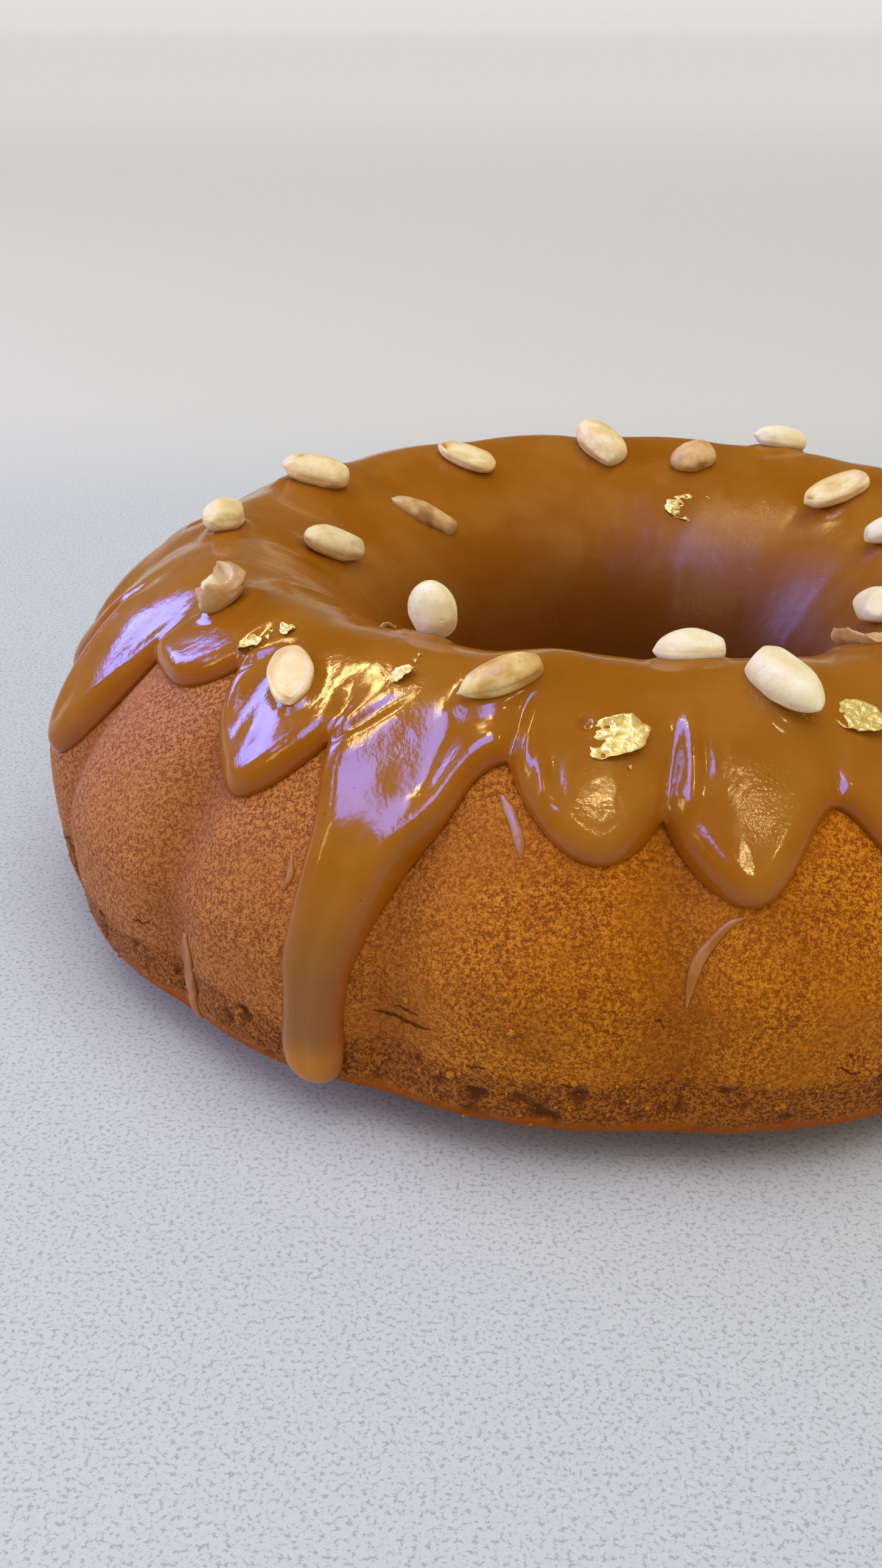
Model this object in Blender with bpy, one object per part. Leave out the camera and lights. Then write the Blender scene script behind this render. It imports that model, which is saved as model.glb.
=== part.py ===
"""Peanut butter ring cake: a fluted ring, its poured glaze with gold flakes, and the peanuts on top.

Frame: metres, +Z up, origin on the ring's axis in the plane that the cake rests on.
An azimuth is 0 towards -Y and grows towards +X. A place on the wall is given by its azimuth and by
its girth, the distance along the ring's cross-section from the lower outer edge, up the outer wall,
over the crest and down the wall of the hole.
"""
import math

import bmesh
import bpy
import numpy as np
from mathutils import Vector

MM = 0.001

# Ring: radii and heights of the bare cake's cross-section
WALL_RADIUS, WALL_HEIGHT = 127.0 * MM, 35.0 * MM      # widest point of the outer wall
CREST_RADIUS, CREST_HEIGHT = 85.8 * MM, 74.6 * MM     # highest point
HOLE_RADIUS, HOLE_HEIGHT = 41.5 * MM, 30.0 * MM       # narrowest point of the hole
EDGE_RADIUS, EDGE_HEIGHT = 122.6 * MM, 9.5 * MM       # lower outer edge, lifted by the domed base
REST_OUTER, REST_INNER = 96.0 * MM, 72.0 * MM         # flat ring that the cake stands on
FOOT_RADIUS, FOOT_HEIGHT = 45.0 * MM, 5.0 * MM        # lower edge of the hole
OUTER_FULLNESS, INNER_FULLNESS = 1.36, 1.24           # 1 is an ellipse, more is flatter shoulders

# Flutes
FLUTES = 16
GROOVE_AZIMUTH = -1.0                                 # degrees, of one groove
GROOVE_DEPTH = 2.6 * MM

# Rise of the crest on one side: its height, where it lies, and how far it spreads
RISE, RISE_AZIMUTH, RISE_SPREAD = 2.0 * MM, -8.0, 24.0
RISE_GIRTH, RISE_REACH = 96.0 * MM, 20.0 * MM

# Glaze
GLAZE_TOP, GLAZE_SHOULDER = 3.0 * MM, 2.1 * MM        # thickness on the crest and on the outer wall
BEAD, BEAD_REACH = 3.1 * MM, 2.2 * MM                 # thickness and width of the rounded lower rim
HEM = 1.1 * MM                                        # thickness of the very edge
BEDDING = 0.3 * MM                                    # space left between cake and glaze
ROOT, CREST_ROOT = 1.0 * MM, 8.0 * MM                 # how deep the glaze is drawn before it is cut
HOLE_HEM_HEIGHT, HOLE_HEM_SWING = 19.0 * MM, 4.0 * MM
DRIP_TOP, DRIP_BULB = 62.0 * MM, 1.5 * MM             # height where a long drip starts, its bulb's swell

# Tongues of glaze from left to right: azimuth and height of each tip, then of the notch after it
TONGUES = (
    (-73.5, 40.5, -66.5, 64.8),
    (-58.0, 64.0, -51.2, 69.9),
    (-41.5, 55.4, -34.0, 65.4),
    (-26.5, 54.0, -16.0, 66.8),
    (-7.3, 56.1, -2.0, 62.6),
    (4.8, 51.0, 13.0, 62.3),
    (19.0, 53.0, 26.5, 63.5),
)
TONGUES_ROUND_BACK = 16
TIP_HEIGHTS, NOTCH_HEIGHTS = (42.0, 62.0), (60.0, 68.5)

# Long drips: azimuth of the tongue that each runs from, height of its tip, how far the tip lies
# aside in degrees, and the half width of its neck in mm
LONG_DRIPS = (
    (-26.5, 11.0, -3.1, 5.6),
    (63.0, 22.0, 2.0, 4.6),
    (143.0, 15.0, -2.5, 5.2),
    (-128.0, 24.0, 2.5, 4.8),
)

# Peanuts: azimuth, girth in mm, turn, lean and roll in degrees, length, width and height in mm
PEANUTS = (
    (-41.3, 72.9, 128.7, 2.0, 8.0, 13.4, 8.6, 6.2),
    (-18.6, 80.3, 35.9, 4.0, -14.0, 15.0, 7.4, 7.0),
    (-35.2, 97.2, -90.0, 60.0, 0.0, 11.4, 9.8, 8.4),
    (2.5, 92.6, 2.0, 0.0, 0.0, 12.4, 9.0, 7.6),
    (10.8, 80.0, -66.3, 6.0, 6.0, 16.6, 8.8, 8.2),
    (76.0, 117.0, 26.0, 8.0, 0.0, 15.4, 9.4, 7.0),
    (30.0, 97.0, 76.0, 3.0, 18.0, 16.4, 8.6, 5.0),
    (-97.7, 106.3, -36.0, 3.0, 0.0, 18.4, 9.2, 7.6),
    (-61.9, 80.8, 62.0, 14.0, 10.0, 11.4, 9.8, 8.0),
    (-91.6, 85.4, -14.0, 8.0, -6.0, 11.8, 9.4, 8.0),
    (-120.3, 89.8, -56.0, 4.0, 0.0, 16.4, 10.6, 8.0),
    (-135.7, 109.9, -47.4, 2.0, 0.0, 17.6, 6.6, 6.0),
    (-153.8, 95.8, -38.0, 4.0, 6.0, 15.4, 9.6, 6.8),
    (178.6, 93.8, -54.0, 10.0, -8.0, 16.6, 10.2, 7.6),
    (160.0, 97.4, 42.0, 2.0, 4.0, 11.6, 10.0, 7.4),
    (147.0, 84.0, 38.0, 2.0, 0.0, 13.6, 9.2, 7.2),
    (126.2, 100.9, 68.7, 5.0, 0.0, 16.2, 9.8, 7.8),
)
MORE_PEANUTS = 8
MORE_FROM, MORE_TO = 50.0, 114.0                      # azimuths that the further peanuts share
PEANUT_SINK = 1.3 * MM                                # how deep a peanut lies in the glaze
PEANUT_GAP = 0.3 * MM

# Gold flakes: azimuth, girth in mm, turn and lean in degrees, length and width in mm
FLAKES = (
    (-6.5, 72.1, 20.0, 6.0, 11.5, 8.5),
    (18.0, 74.7, -30.0, 6.0, 11.0, 7.0),
    (-30.0, 79.6, 10.0, 24.0, 6.5, 4.0),
    (-51.2, 75.9, 40.0, 6.0, 6.0, 3.6),
    (-48.8, 82.2, -20.0, 10.0, 5.2, 3.4),
    (-47.0, 102.0, 10.0, 30.0, 6.4, 4.6),
    (157.8, 112.0, 5.0, 14.0, 13.0, 8.0),
    (52.5, 97.0, 30.0, 6.0, 9.0, 6.0),
    (94.0, 96.0, -15.0, 12.0, 10.5, 7.0),
)
FLAKE_THICKNESS = 0.5 * MM
FLAKE_CRUMPLE = 0.55 * MM

# Fineness of the meshes
COLUMN_SHARES = (0.27, 0.6)                           # columns between a tip and the next notch
WALL_ROW_HEIGHTS = (9.5, 19.0, 35.0, 49.0, 61.0, 69.5)
OUTER_ROWS = 3                                        # rows of glaze from its hem to the crest
HOLE_ROW_HEIGHTS = (67.5, 53.0, 34.0)                 # rows of the cake and the glaze in the hole
DRIP_STATIONS, DRIP_HALF_SECTION = 8, 3
FLAKE_SIDES = 6
PEANUT_SIDES, PEANUT_RINGS = 9, 5

TONGUE_SEED, FLAKE_SEED, PEANUT_SEED = 7, 11, 23


def clear_scene():
    """Removes whatever the scene holds."""
    for thing in list(bpy.data.objects):
        bpy.data.objects.remove(thing, do_unlink=True)


def new_material(name, colour, roughness, metallic=0.0):
    """A plain Principled finish."""
    material = bpy.data.materials.new(name)
    material.use_nodes = True
    shader = material.node_tree.nodes["Principled BSDF"]
    shader.inputs["Base Color"].default_value = (*colour, 1.0)
    shader.inputs["Roughness"].default_value = roughness
    shader.inputs["Metallic"].default_value = metallic
    material.diffuse_color = (*colour, 1.0)
    return material


def new_object(name, points, faces, material):
    """A smooth mesh object from points and faces."""
    mesh = bpy.data.meshes.new(name)
    mesh.from_pydata([tuple(p) for p in points], [], [tuple(f) for f in faces])
    mesh.materials.append(material)
    mesh.shade_smooth()
    mesh.update()
    thing = bpy.data.objects.new(name, mesh)
    bpy.context.scene.collection.objects.link(thing)
    return thing


# ------------------------------------------------------------------ the ring's wall

def wall_section(count=160):
    """Cross-section of the wall from the lower outer edge over the crest into the hole.

    The outer wall is a quarter of a barrel up to the widest point, then a superellipse to the crest;
    the wall of the hole is a second superellipse from the crest to the narrowest point, and a short
    curve out to the foot. Returns radius, height, their normals and the girth of each point.
    """
    t = np.linspace(0.0, math.pi / 2, count)
    back = t[::-1]
    radius = np.concatenate([
        EDGE_RADIUS + (WALL_RADIUS - EDGE_RADIUS) * np.sin(t),
        (CREST_RADIUS + (WALL_RADIUS - CREST_RADIUS) * np.cos(t) ** OUTER_FULLNESS)[1:],
        (CREST_RADIUS - (CREST_RADIUS - HOLE_RADIUS) * np.cos(back) ** INNER_FULLNESS)[1:],
        (FOOT_RADIUS - (FOOT_RADIUS - HOLE_RADIUS) * np.cos(t))[1:],
    ])
    height = np.concatenate([
        EDGE_HEIGHT + (WALL_HEIGHT - EDGE_HEIGHT) * (1 - np.cos(t)),
        (WALL_HEIGHT + (CREST_HEIGHT - WALL_HEIGHT) * np.sin(t) ** OUTER_FULLNESS)[1:],
        (HOLE_HEIGHT + (CREST_HEIGHT - HOLE_HEIGHT) * np.sin(back) ** INNER_FULLNESS)[1:],
        (HOLE_HEIGHT - (HOLE_HEIGHT - FOOT_HEIGHT) * np.sin(t))[1:],
    ])
    run, rise = np.gradient(radius), np.gradient(height)
    length = np.hypot(run, rise)
    girth = np.concatenate([[0.0], np.cumsum(np.hypot(np.diff(radius), np.diff(height)))])
    return radius, height, rise / length, -run / length, girth


RADIUS, HEIGHT, NORMAL_OUT, NORMAL_UP, GIRTH = wall_section()
CREST_GIRTH = GIRTH[HEIGHT.argmax()]
FULL_GIRTH = GIRTH[-1]


def outer_girth(height):
    """Girth at which the outer wall reaches a height."""
    rising = GIRTH <= CREST_GIRTH
    return float(np.interp(height, HEIGHT[rising], GIRTH[rising]))


def hole_girth(height):
    """Girth at which the wall of the hole comes down to a height."""
    falling = GIRTH >= CREST_GIRTH
    return float(np.interp(-height, -HEIGHT[falling], GIRTH[falling]))


def groove(azimuth):
    """How far a place lies in a groove between two flutes: 1 at the groove, 0 on the flute."""
    wave = 0.5 + 0.5 * np.cos(np.radians(azimuth - GROOVE_AZIMUTH) * FLUTES)
    return 0.45 * wave + 0.55 * wave ** 4


def groove_depth(girth):
    """Depth of the grooves along the girth: deepest half way up the two walls, faint on the crest."""
    stops = np.array([0.0, 14.0, 32.0, 60.0, 86.0, 108.0, 135.0, 165.0, 200.0]) * MM
    share = np.array([0.35, 0.80, 1.0, 0.85, 0.30, 0.55, 1.25, 1.15, 0.7])
    return GROOVE_DEPTH * np.interp(girth, stops, share)


def rise(azimuth, girth):
    """How much the baked ring stands out further on the side where its crest is higher."""
    away = (azimuth - RISE_AZIMUTH + 180.0) % 360.0 - 180.0
    return RISE * np.exp(-(away / RISE_SPREAD) ** 2 - ((girth - RISE_GIRTH) / RISE_REACH) ** 2)


def wall_point(azimuth, girth, lift):
    """A point at a distance from the fluted wall, measured along the section's normal."""
    offset = lift + rise(azimuth, girth) - groove_depth(girth) * groove(azimuth)
    radius = np.interp(girth, GIRTH, RADIUS) + offset * np.interp(girth, GIRTH, NORMAL_OUT)
    height = np.interp(girth, GIRTH, HEIGHT) + offset * np.interp(girth, GIRTH, NORMAL_UP)
    angle = np.radians(azimuth)
    return np.stack(np.broadcast_arrays(radius * np.sin(angle), -radius * np.cos(angle), height), axis=-1)


def wall_frame(azimuth, girth, lift):
    """Point and directions at a place on the wall: along the ring, along the girth, outwards."""
    centre = Vector(wall_point(azimuth, girth, lift))
    angle = math.radians(azimuth)
    along = Vector((math.cos(angle), math.sin(angle), 0.0))
    out = np.interp(girth, GIRTH, NORMAL_OUT)
    normal = Vector((out * math.sin(angle), -out * math.cos(angle), np.interp(girth, GIRTH, NORMAL_UP)))
    normal.normalize()
    return centre, along, normal.cross(along), normal


# ------------------------------------------------------------------ closed grids

def ring_faces(first, second, count):
    """Triangles between two closed loops of points, each given by the number of its first point."""
    faces = []
    for i in range(count):
        j = (i + 1) % count
        faces += [(first + i, first + j, second + j), (first + i, second + j, second + i)]
    return faces


def tube_of_loops(loops):
    """Points and faces of a ring-shaped body whose section runs through the loops and closes."""
    count = len(loops[0])
    points = np.concatenate(loops)
    faces = []
    for row in range(len(loops)):
        faces += ring_faces(row * count, (row + 1) % len(loops) * count, count)
    return points, faces


def capped_loops(first_tip, loops, last_tip):
    """Points and faces of a body that starts in a point, runs through the loops and ends in a point."""
    count = len(loops[0])
    points = np.concatenate([[first_tip], *loops, [last_tip]])
    last = len(points) - 1
    faces = [(0, 1 + (i + 1) % count, 1 + i) for i in range(count)]
    for row in range(len(loops) - 1):
        faces += ring_faces(1 + row * count, 1 + (row + 1) * count, count)
    final = 1 + (len(loops) - 1) * count
    faces += [(final + i, final + (i + 1) % count, last) for i in range(count)]
    return points, faces


# ------------------------------------------------------------------ the glaze's lower edge

def tongue_keys():
    """Azimuths and heights of all tips and notches, round the whole ring, in rising order.

    The named tongues come first. The rest of the ring is shared by further tongues of uneven width.
    """
    keys = []
    for tip_azimuth, tip_height, notch_azimuth, notch_height in TONGUES:
        keys += [(tip_azimuth, tip_height), (notch_azimuth, notch_height)]
    draw = np.random.RandomState(TONGUE_SEED)
    start, end = TONGUES[-1][2], TONGUES[0][0] - 8.0 + 360.0
    widths = draw.uniform(0.75, 1.3, TONGUES_ROUND_BACK)
    notches = start + np.cumsum(widths) / widths.sum() * (end - start)
    previous = start
    for notch in notches:
        tip = previous + (notch - previous) * draw.uniform(0.4, 0.6)
        keys += [(tip, draw.uniform(*TIP_HEIGHTS)), (notch, draw.uniform(*NOTCH_HEIGHTS))]
        previous = notch
    return keys


def columns_through(keys):
    """Azimuths of the mesh's columns: at each tip and notch, with more between, closer to the tips."""
    columns = []
    following = keys[1:] + [(keys[0][0] + 360.0, keys[0][1])]
    for number, ((start, _), (end, _)) in enumerate(zip(keys, following)):
        shares = COLUMN_SHARES if number % 2 == 0 else tuple(1.0 - s for s in COLUMN_SHARES[::-1])
        columns += [start] + [start + (end - start) * share for share in shares]
    return np.array(columns)


def outer_hem(columns, keys):
    """Height of the glaze's lower edge at each column.

    Between a notch and a tip the edge follows a quarter sine, so tips are round and notches pointed.
    """
    azimuths = np.array([k[0] for k in keys])
    heights = np.array([k[1] for k in keys])
    is_tip = np.arange(len(keys)) % 2 == 0
    shifted = (columns - azimuths[0]) % 360.0 + azimuths[0]
    following = np.searchsorted(azimuths, shifted, side="right") % len(keys)
    before = (following - 1) % len(keys)
    span = (azimuths[following] - azimuths[before]) % 360.0
    share = ((shifted - azimuths[before]) % 360.0) / span
    from_notch = np.where(is_tip[before], 1.0 - share, share)
    notch = np.where(is_tip[before], heights[following], heights[before])
    tip = np.where(is_tip[before], heights[before], heights[following])
    return (notch + (tip - notch) * np.sin(from_notch * math.pi / 2) ** 0.9) * MM


def glaze_thickness(girth):
    """Thickness of the glaze away from its edges: thicker on the crest than on the walls."""
    climb = np.clip(np.sin(girth / CREST_GIRTH * math.pi / 2), 0.0, 1.0)
    return GLAZE_SHOULDER + (GLAZE_TOP - GLAZE_SHOULDER) * climb ** 4


def glaze_loops(columns, hem, extra):
    """Loops of the poured glaze, over its outer face into the hole and back through the cake.

    The rows spread evenly from the outer hem to the crest, and in the hole they lie on the cake's own
    rows. Each hem has a thin edge, and above it a thicker bead. What lies inside the cake is cut off
    afterwards.
    """
    start = np.array([outer_girth(h) for h in hem])
    swing = np.sin(np.radians(columns) * 9.0) + 0.6 * np.sin(np.radians(columns) * 14.0 + 1.0)
    end = np.array([hole_girth(h) for h in HOLE_HEM_HEIGHT + HOLE_HEM_SWING * swing])
    shares = np.linspace(0.0, 1.0, OUTER_ROWS + 1)[1:]
    rows = [start + (CREST_GIRTH - start) * share for share in shares]
    rows += [np.full(len(columns), hole_girth(h * MM)) for h in HOLE_ROW_HEIGHTS]
    loops = [wall_point(columns, start, HEM + extra),
             wall_point(columns, start + BEAD_REACH, BEAD + extra)]
    loops += [wall_point(columns, girth, glaze_thickness(girth) + extra) for girth in rows]
    loops += [wall_point(columns, end - BEAD_REACH, BEAD + extra),
              wall_point(columns, end, HEM + extra),
              wall_point(columns, end, -ROOT),
              wall_point(columns, CREST_GIRTH, -CREST_ROOT),
              wall_point(columns, start, -ROOT)]
    return loops


def nearest_tip(keys, azimuth):
    """Azimuth of the tongue whose tip lies nearest to an azimuth."""
    tips = np.array([key[0] for key in keys[::2]])
    return tips[np.abs((tips - azimuth + 180.0) % 360.0 - 180.0).argmin()]


def long_drip(top_azimuth, tip_height, aside, half_width):
    """Points and faces of one long drip: a flattened tongue laid on the wall, wide above, with a bulb.

    Its half width grows towards the top with a power of the height, and closes on a half round at
    the tip. The section is an arch over the wall, and the drip wanders aside on its way down.
    """
    low, high = outer_girth(tip_height * MM), outer_girth(DRIP_TOP)
    shares = np.linspace(0.0, 1.0, DRIP_STATIONS + 2)[1:-1] ** 1.25
    loops = []
    spread = np.linspace(-1.0, 1.0, 2 * DRIP_HALF_SECTION + 1)
    for share in shares:
        girth = low + (high - low) * share
        rounding = math.sqrt(1.0 - (1.0 - min(share / 0.13, 1.0)) ** 2)
        width = half_width * MM * (1.0 + 1.15 * share ** 2.4) * rounding
        bulb = DRIP_BULB * math.exp(-((share - 0.07) / 0.07) ** 2)
        middle = top_azimuth + aside * (1.0 - share ** 1.3)
        azimuth = middle + np.degrees(width / np.interp(girth, GIRTH, RADIUS) * spread)
        arch = np.sqrt(np.maximum(0.0, 1.0 - spread ** 2))
        top = HEM + (BEAD - HEM + bulb) * arch ** 0.8
        upper = wall_point(azimuth, girth, top * (0.55 + 0.45 * rounding))
        under = wall_point(azimuth[::-1][1:-1], girth, -ROOT)
        loops.append(np.concatenate([upper, under]))
    lower_tip = wall_point(top_azimuth + aside, low, 0.5 * HEM)
    upper_tip = wall_point(top_azimuth, high, 0.5 * HEM)
    return capped_loops(lower_tip, loops, upper_tip)


# ------------------------------------------------------------------ small pieces

def turned_axes(azimuth, girth, lift, turn, lean):
    """Centre and axes of a piece lying on the wall, turned in its plane and leaned up on one end."""
    centre, along, up_wall, normal = wall_frame(azimuth, girth, lift)
    turn, lean = math.radians(turn), math.radians(lean)
    flat = along * math.cos(turn) + up_wall * math.sin(turn)
    long_axis = flat * math.cos(lean) + normal * math.sin(lean)
    high_axis = normal * math.cos(lean) - flat * math.sin(lean)
    return centre, long_axis, high_axis.cross(long_axis), high_axis


def flake(draw, azimuth, girth, turn, lean, length, width):
    """Points and faces of a crumpled gold flake: a thin ragged slab with a wavy middle surface."""
    lift = float(glaze_thickness(girth)) + 0.1 * MM
    centre, long_axis, side_axis, high_axis = turned_axes(azimuth, girth, lift, turn, lean)
    angles = np.arange(FLAKE_SIDES) / FLAKE_SIDES * 2 * math.pi
    ragged = draw.uniform(0.72, 1.1, FLAKE_SIDES)
    wave = draw.uniform(-1.0, 1.0, FLAKE_SIDES) * FLAKE_CRUMPLE
    points = []
    for share in (1.0, 0.45):
        for level in (-0.5, 0.5):
            loop = []
            for angle, reach, height in zip(angles, ragged, np.roll(wave, int(share * 4))):
                x = 0.5 * length * MM * reach * share * math.cos(angle)
                y = 0.5 * width * MM * reach * share * math.sin(angle)
                loop.append(centre + long_axis * x + side_axis * y
                            + high_axis * (height + level * FLAKE_THICKNESS))
            points.append(loop)
    low_outer, high_outer, low_inner, high_inner = points
    loops = [low_inner, low_outer, high_outer, high_inner]
    return capped_loops(centre - high_axis * 0.5 * FLAKE_THICKNESS, [np.array(l) for l in loops],
                        centre + high_axis * 0.5 * FLAKE_THICKNESS)


def peanut_places():
    """The named peanuts, then further ones spread by a seeded rule over the rest of the crest."""
    draw = np.random.RandomState(PEANUT_SEED)
    places = list(PEANUTS)
    for azimuth in np.linspace(MORE_FROM, MORE_TO, MORE_PEANUTS):
        inside = len(places) % 2
        places.append((
            azimuth + draw.uniform(-3.0, 3.0),
            (100.0 if inside else 78.0) + draw.uniform(-4.0, 4.0),
            draw.uniform(-80.0, 80.0), draw.uniform(0.0, 8.0), draw.uniform(-8.0, 8.0),
            draw.uniform(14.5, 17.0), draw.uniform(9.0, 10.6), draw.uniform(6.6, 8.4),
        ))
    return places


def peanut(azimuth, girth, turn, lean, roll, length, width, height):
    """Points and faces of a peanut kernel: an egg shape, blunt at one end and pointed at the other.

    Round the kernel the section is an ellipse whose lower half is flattened, and along it the radius
    follows a sine with the widest place nearer to the blunt end.
    """
    stand = 0.5 * length * math.sin(math.radians(lean)) + 0.42 * height * math.cos(math.radians(lean))
    lift = float(glaze_thickness(girth * MM)) + stand * MM - PEANUT_SINK
    centre, long_axis, side_axis, high_axis = turned_axes(azimuth, girth * MM, lift, turn, lean)
    roll = math.radians(roll)
    side_axis, high_axis = (side_axis * math.cos(roll) + high_axis * math.sin(roll),
                            high_axis * math.cos(roll) - side_axis * math.sin(roll))
    around = np.arange(PEANUT_SIDES) / PEANUT_SIDES * 2 * math.pi
    loops = []
    for share in np.arange(1, PEANUT_RINGS) / PEANUT_RINGS:
        swell = math.sin(math.pi * share ** 0.88) ** 0.72
        x = -math.cos(math.pi * share) * 0.5 * length * MM
        loop = []
        for angle in around:
            flat = 0.8 if math.sin(angle) < 0 else 1.0
            y = 0.5 * width * MM * swell * math.cos(angle)
            z = 0.5 * height * MM * swell * math.sin(angle) * flat
            loop.append(centre + long_axis * x + side_axis * y + high_axis * z)
        loops.append(np.array(loop))
    end = long_axis * 0.5 * length * MM
    return capped_loops(centre - end, loops, centre + end)


# ------------------------------------------------------------------ the parts

def cake_loops(columns, lift):
    """Loops of the ring: its wall on the shared columns, the domed underside, the flat resting ring."""
    wall = [outer_girth(h * MM) for h in WALL_ROW_HEIGHTS] + [CREST_GIRTH]
    wall += [hole_girth(h * MM) for h in HOLE_ROW_HEIGHTS] + [FULL_GIRTH]
    loops = [wall_point(columns, girth, lift) for girth in wall]
    angle = np.radians(columns)
    circle = np.stack([np.sin(angle), -np.cos(angle), 0.0 * angle], axis=-1)
    loops += [REST_INNER * circle, REST_OUTER * circle]
    half_way = 0.5 * (loops[0] + loops[-1])
    half_way[:, 2] = 0.3 * loops[0][:, 2]
    return loops + [half_way]


def make_cake(columns, material):
    """The bare fluted ring."""
    return new_object("cake", *tube_of_loops(cake_loops(columns, 0.0)), material)


def hide_cutter(thing):
    """Marks a body as one that only shapes others."""
    thing.hide_render = True
    thing.display_type = "WIRE"


def apply_modifiers(thing):
    """Replaces an object's mesh by its evaluated one."""
    bpy.context.view_layer.update()
    evaluated = thing.evaluated_get(bpy.context.evaluated_depsgraph_get())
    mesh = bpy.data.meshes.new_from_object(evaluated)
    thing.modifiers.clear()
    thing.data = mesh


def union_into(thing, extras):
    """Joins the extra bodies to a body by one Boolean union, and removes them."""
    group = bpy.data.collections.new("fused")
    bpy.context.scene.collection.children.link(group)
    for extra in extras:
        bpy.context.scene.collection.objects.unlink(extra)
        group.objects.link(extra)
    union = thing.modifiers.new("fused", "BOOLEAN")
    union.operation = "UNION"
    union.operand_type = "COLLECTION"
    union.collection = group
    union.solver = "MANIFOLD"
    apply_modifiers(thing)
    for extra in extras:
        bpy.data.objects.remove(extra, do_unlink=True)
    bpy.data.collections.remove(group)


def cut_away(thing, cutter, solver):
    """Takes one body's space away from another."""
    cut = thing.modifiers.new("cut", "BOOLEAN")
    cut.operation = "DIFFERENCE"
    cut.object = cutter
    cut.solver = solver


def keep_main_shell(thing):
    """Drops what a cut leaves beside the main body: sealed hollows and loose scraps."""
    shape = bmesh.new()
    shape.from_mesh(thing.data)
    shells, seen = [], set()
    for start in shape.verts:
        if start in seen:
            continue
        seen.add(start)
        shell, front = [start], [start]
        while front:
            vertex = front.pop()
            for edge in vertex.link_edges:
                other = edge.other_vert(vertex)
                if other not in seen:
                    seen.add(other)
                    shell.append(other)
                    front.append(other)
        shells.append(shell)
    shells.sort(key=len)
    for shell in shells[:-1]:
        bmesh.ops.delete(shape, geom=shell, context="VERTS")
    shape.to_mesh(thing.data)
    shape.free()


def make_glaze(columns, hem, keys, material, gold):
    """The poured glaze with its long drips and the gold flakes that lie on it, bedded on the cake."""
    glaze = new_object("glaze", *tube_of_loops(glaze_loops(columns, hem, 0.0)), material)
    extras = []
    for azimuth, tip_height, aside, half_width in LONG_DRIPS:
        shape = long_drip(nearest_tip(keys, azimuth), tip_height, aside, half_width)
        extras.append(new_object("drip", *shape, material))
    draw = np.random.RandomState(FLAKE_SEED)
    for azimuth, girth, turn, lean, length, width in FLAKES:
        shape = flake(draw, azimuth, girth * MM, turn, lean, length, width)
        extras.append(new_object("flake", *shape, gold))
    union_into(glaze, extras)
    core = new_object("cake_core", *tube_of_loops(cake_loops(columns, BEDDING)), material)
    hide_cutter(core)
    cut_away(glaze, core, "MANIFOLD")
    apply_modifiers(glaze)
    bpy.data.objects.remove(core, do_unlink=True)
    keep_main_shell(glaze)
    return glaze


def make_bed(columns, hem, material):
    """A hidden body of the glaze's shape, larger by the peanuts' gap, that trims them underneath."""
    bed = new_object("glaze_bed", *tube_of_loops(glaze_loops(columns, hem, PEANUT_GAP)), material)
    hide_cutter(bed)
    return bed


def make_peanuts(bed, material):
    """All peanuts, each trimmed to the glaze that it lies in."""
    for number, place in enumerate(peanut_places(), start=1):
        points, faces = peanut(*place)
        kernel = new_object(f"peanut_{number:02d}", points, faces, material)
        cut_away(kernel, bed, "EXACT")


def main():
    clear_scene()
    crust = new_material("crust", (0.48, 0.20, 0.055), 0.75)
    caramel = new_material("caramel", (0.33, 0.125, 0.022), 0.18)
    gold = new_material("gold", (0.85, 0.62, 0.16), 0.3, 1.0)
    nut = new_material("nut", (0.78, 0.62, 0.36), 0.6)
    keys = tongue_keys()
    columns = columns_through(keys)
    hem = outer_hem(columns, keys)
    make_cake(columns, crust)
    make_glaze(columns, hem, keys, caramel, gold)
    make_peanuts(make_bed(columns, hem, caramel), nut)


main()
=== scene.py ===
"""Looks of the peanut butter ring cake: crust, poured glaze, peanuts, gold leaf, crumbs and stage.

Frame: metres, +Z up, the ring's axis is Z and the cake stands on z = 0. An azimuth is 0 towards -Y
and grows towards +X, in degrees. A place on the wall is given by its azimuth and by its girth, the
distance along the ring's cross-section from the lower outer edge, up the outer wall, over the crest
and down the wall of the hole.
"""
import logging
import math
from dataclasses import dataclass
from enum import Enum
from typing import Sequence

import bpy
import numpy as np
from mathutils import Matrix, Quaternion, Vector


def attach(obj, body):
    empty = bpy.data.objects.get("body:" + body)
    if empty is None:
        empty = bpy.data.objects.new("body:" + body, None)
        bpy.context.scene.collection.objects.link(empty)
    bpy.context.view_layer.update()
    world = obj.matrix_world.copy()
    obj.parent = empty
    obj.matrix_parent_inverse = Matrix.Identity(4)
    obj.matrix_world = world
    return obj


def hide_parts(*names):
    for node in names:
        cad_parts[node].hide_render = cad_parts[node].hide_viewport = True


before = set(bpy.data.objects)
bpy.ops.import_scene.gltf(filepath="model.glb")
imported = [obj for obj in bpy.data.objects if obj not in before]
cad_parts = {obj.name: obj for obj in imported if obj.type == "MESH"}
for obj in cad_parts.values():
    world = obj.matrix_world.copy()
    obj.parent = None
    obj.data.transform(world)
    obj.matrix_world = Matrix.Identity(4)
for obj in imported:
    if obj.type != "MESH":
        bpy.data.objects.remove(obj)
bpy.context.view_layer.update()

Array = np.ndarray
Socket = bpy.types.NodeSocket
Piece = bpy.types.Object
Material = bpy.types.Material

MM = 0.001
BODY = "root"
WORD_MASK = 0xFFFFFFFF

log = logging.getLogger("ring_cake")


# ------------------------------------------------------------------ number tools

def wrap(angle: Array) -> Array:
    """Brings an angle in degrees into -180 to 180."""
    return (angle + 180.0) % 360.0 - 180.0


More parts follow.
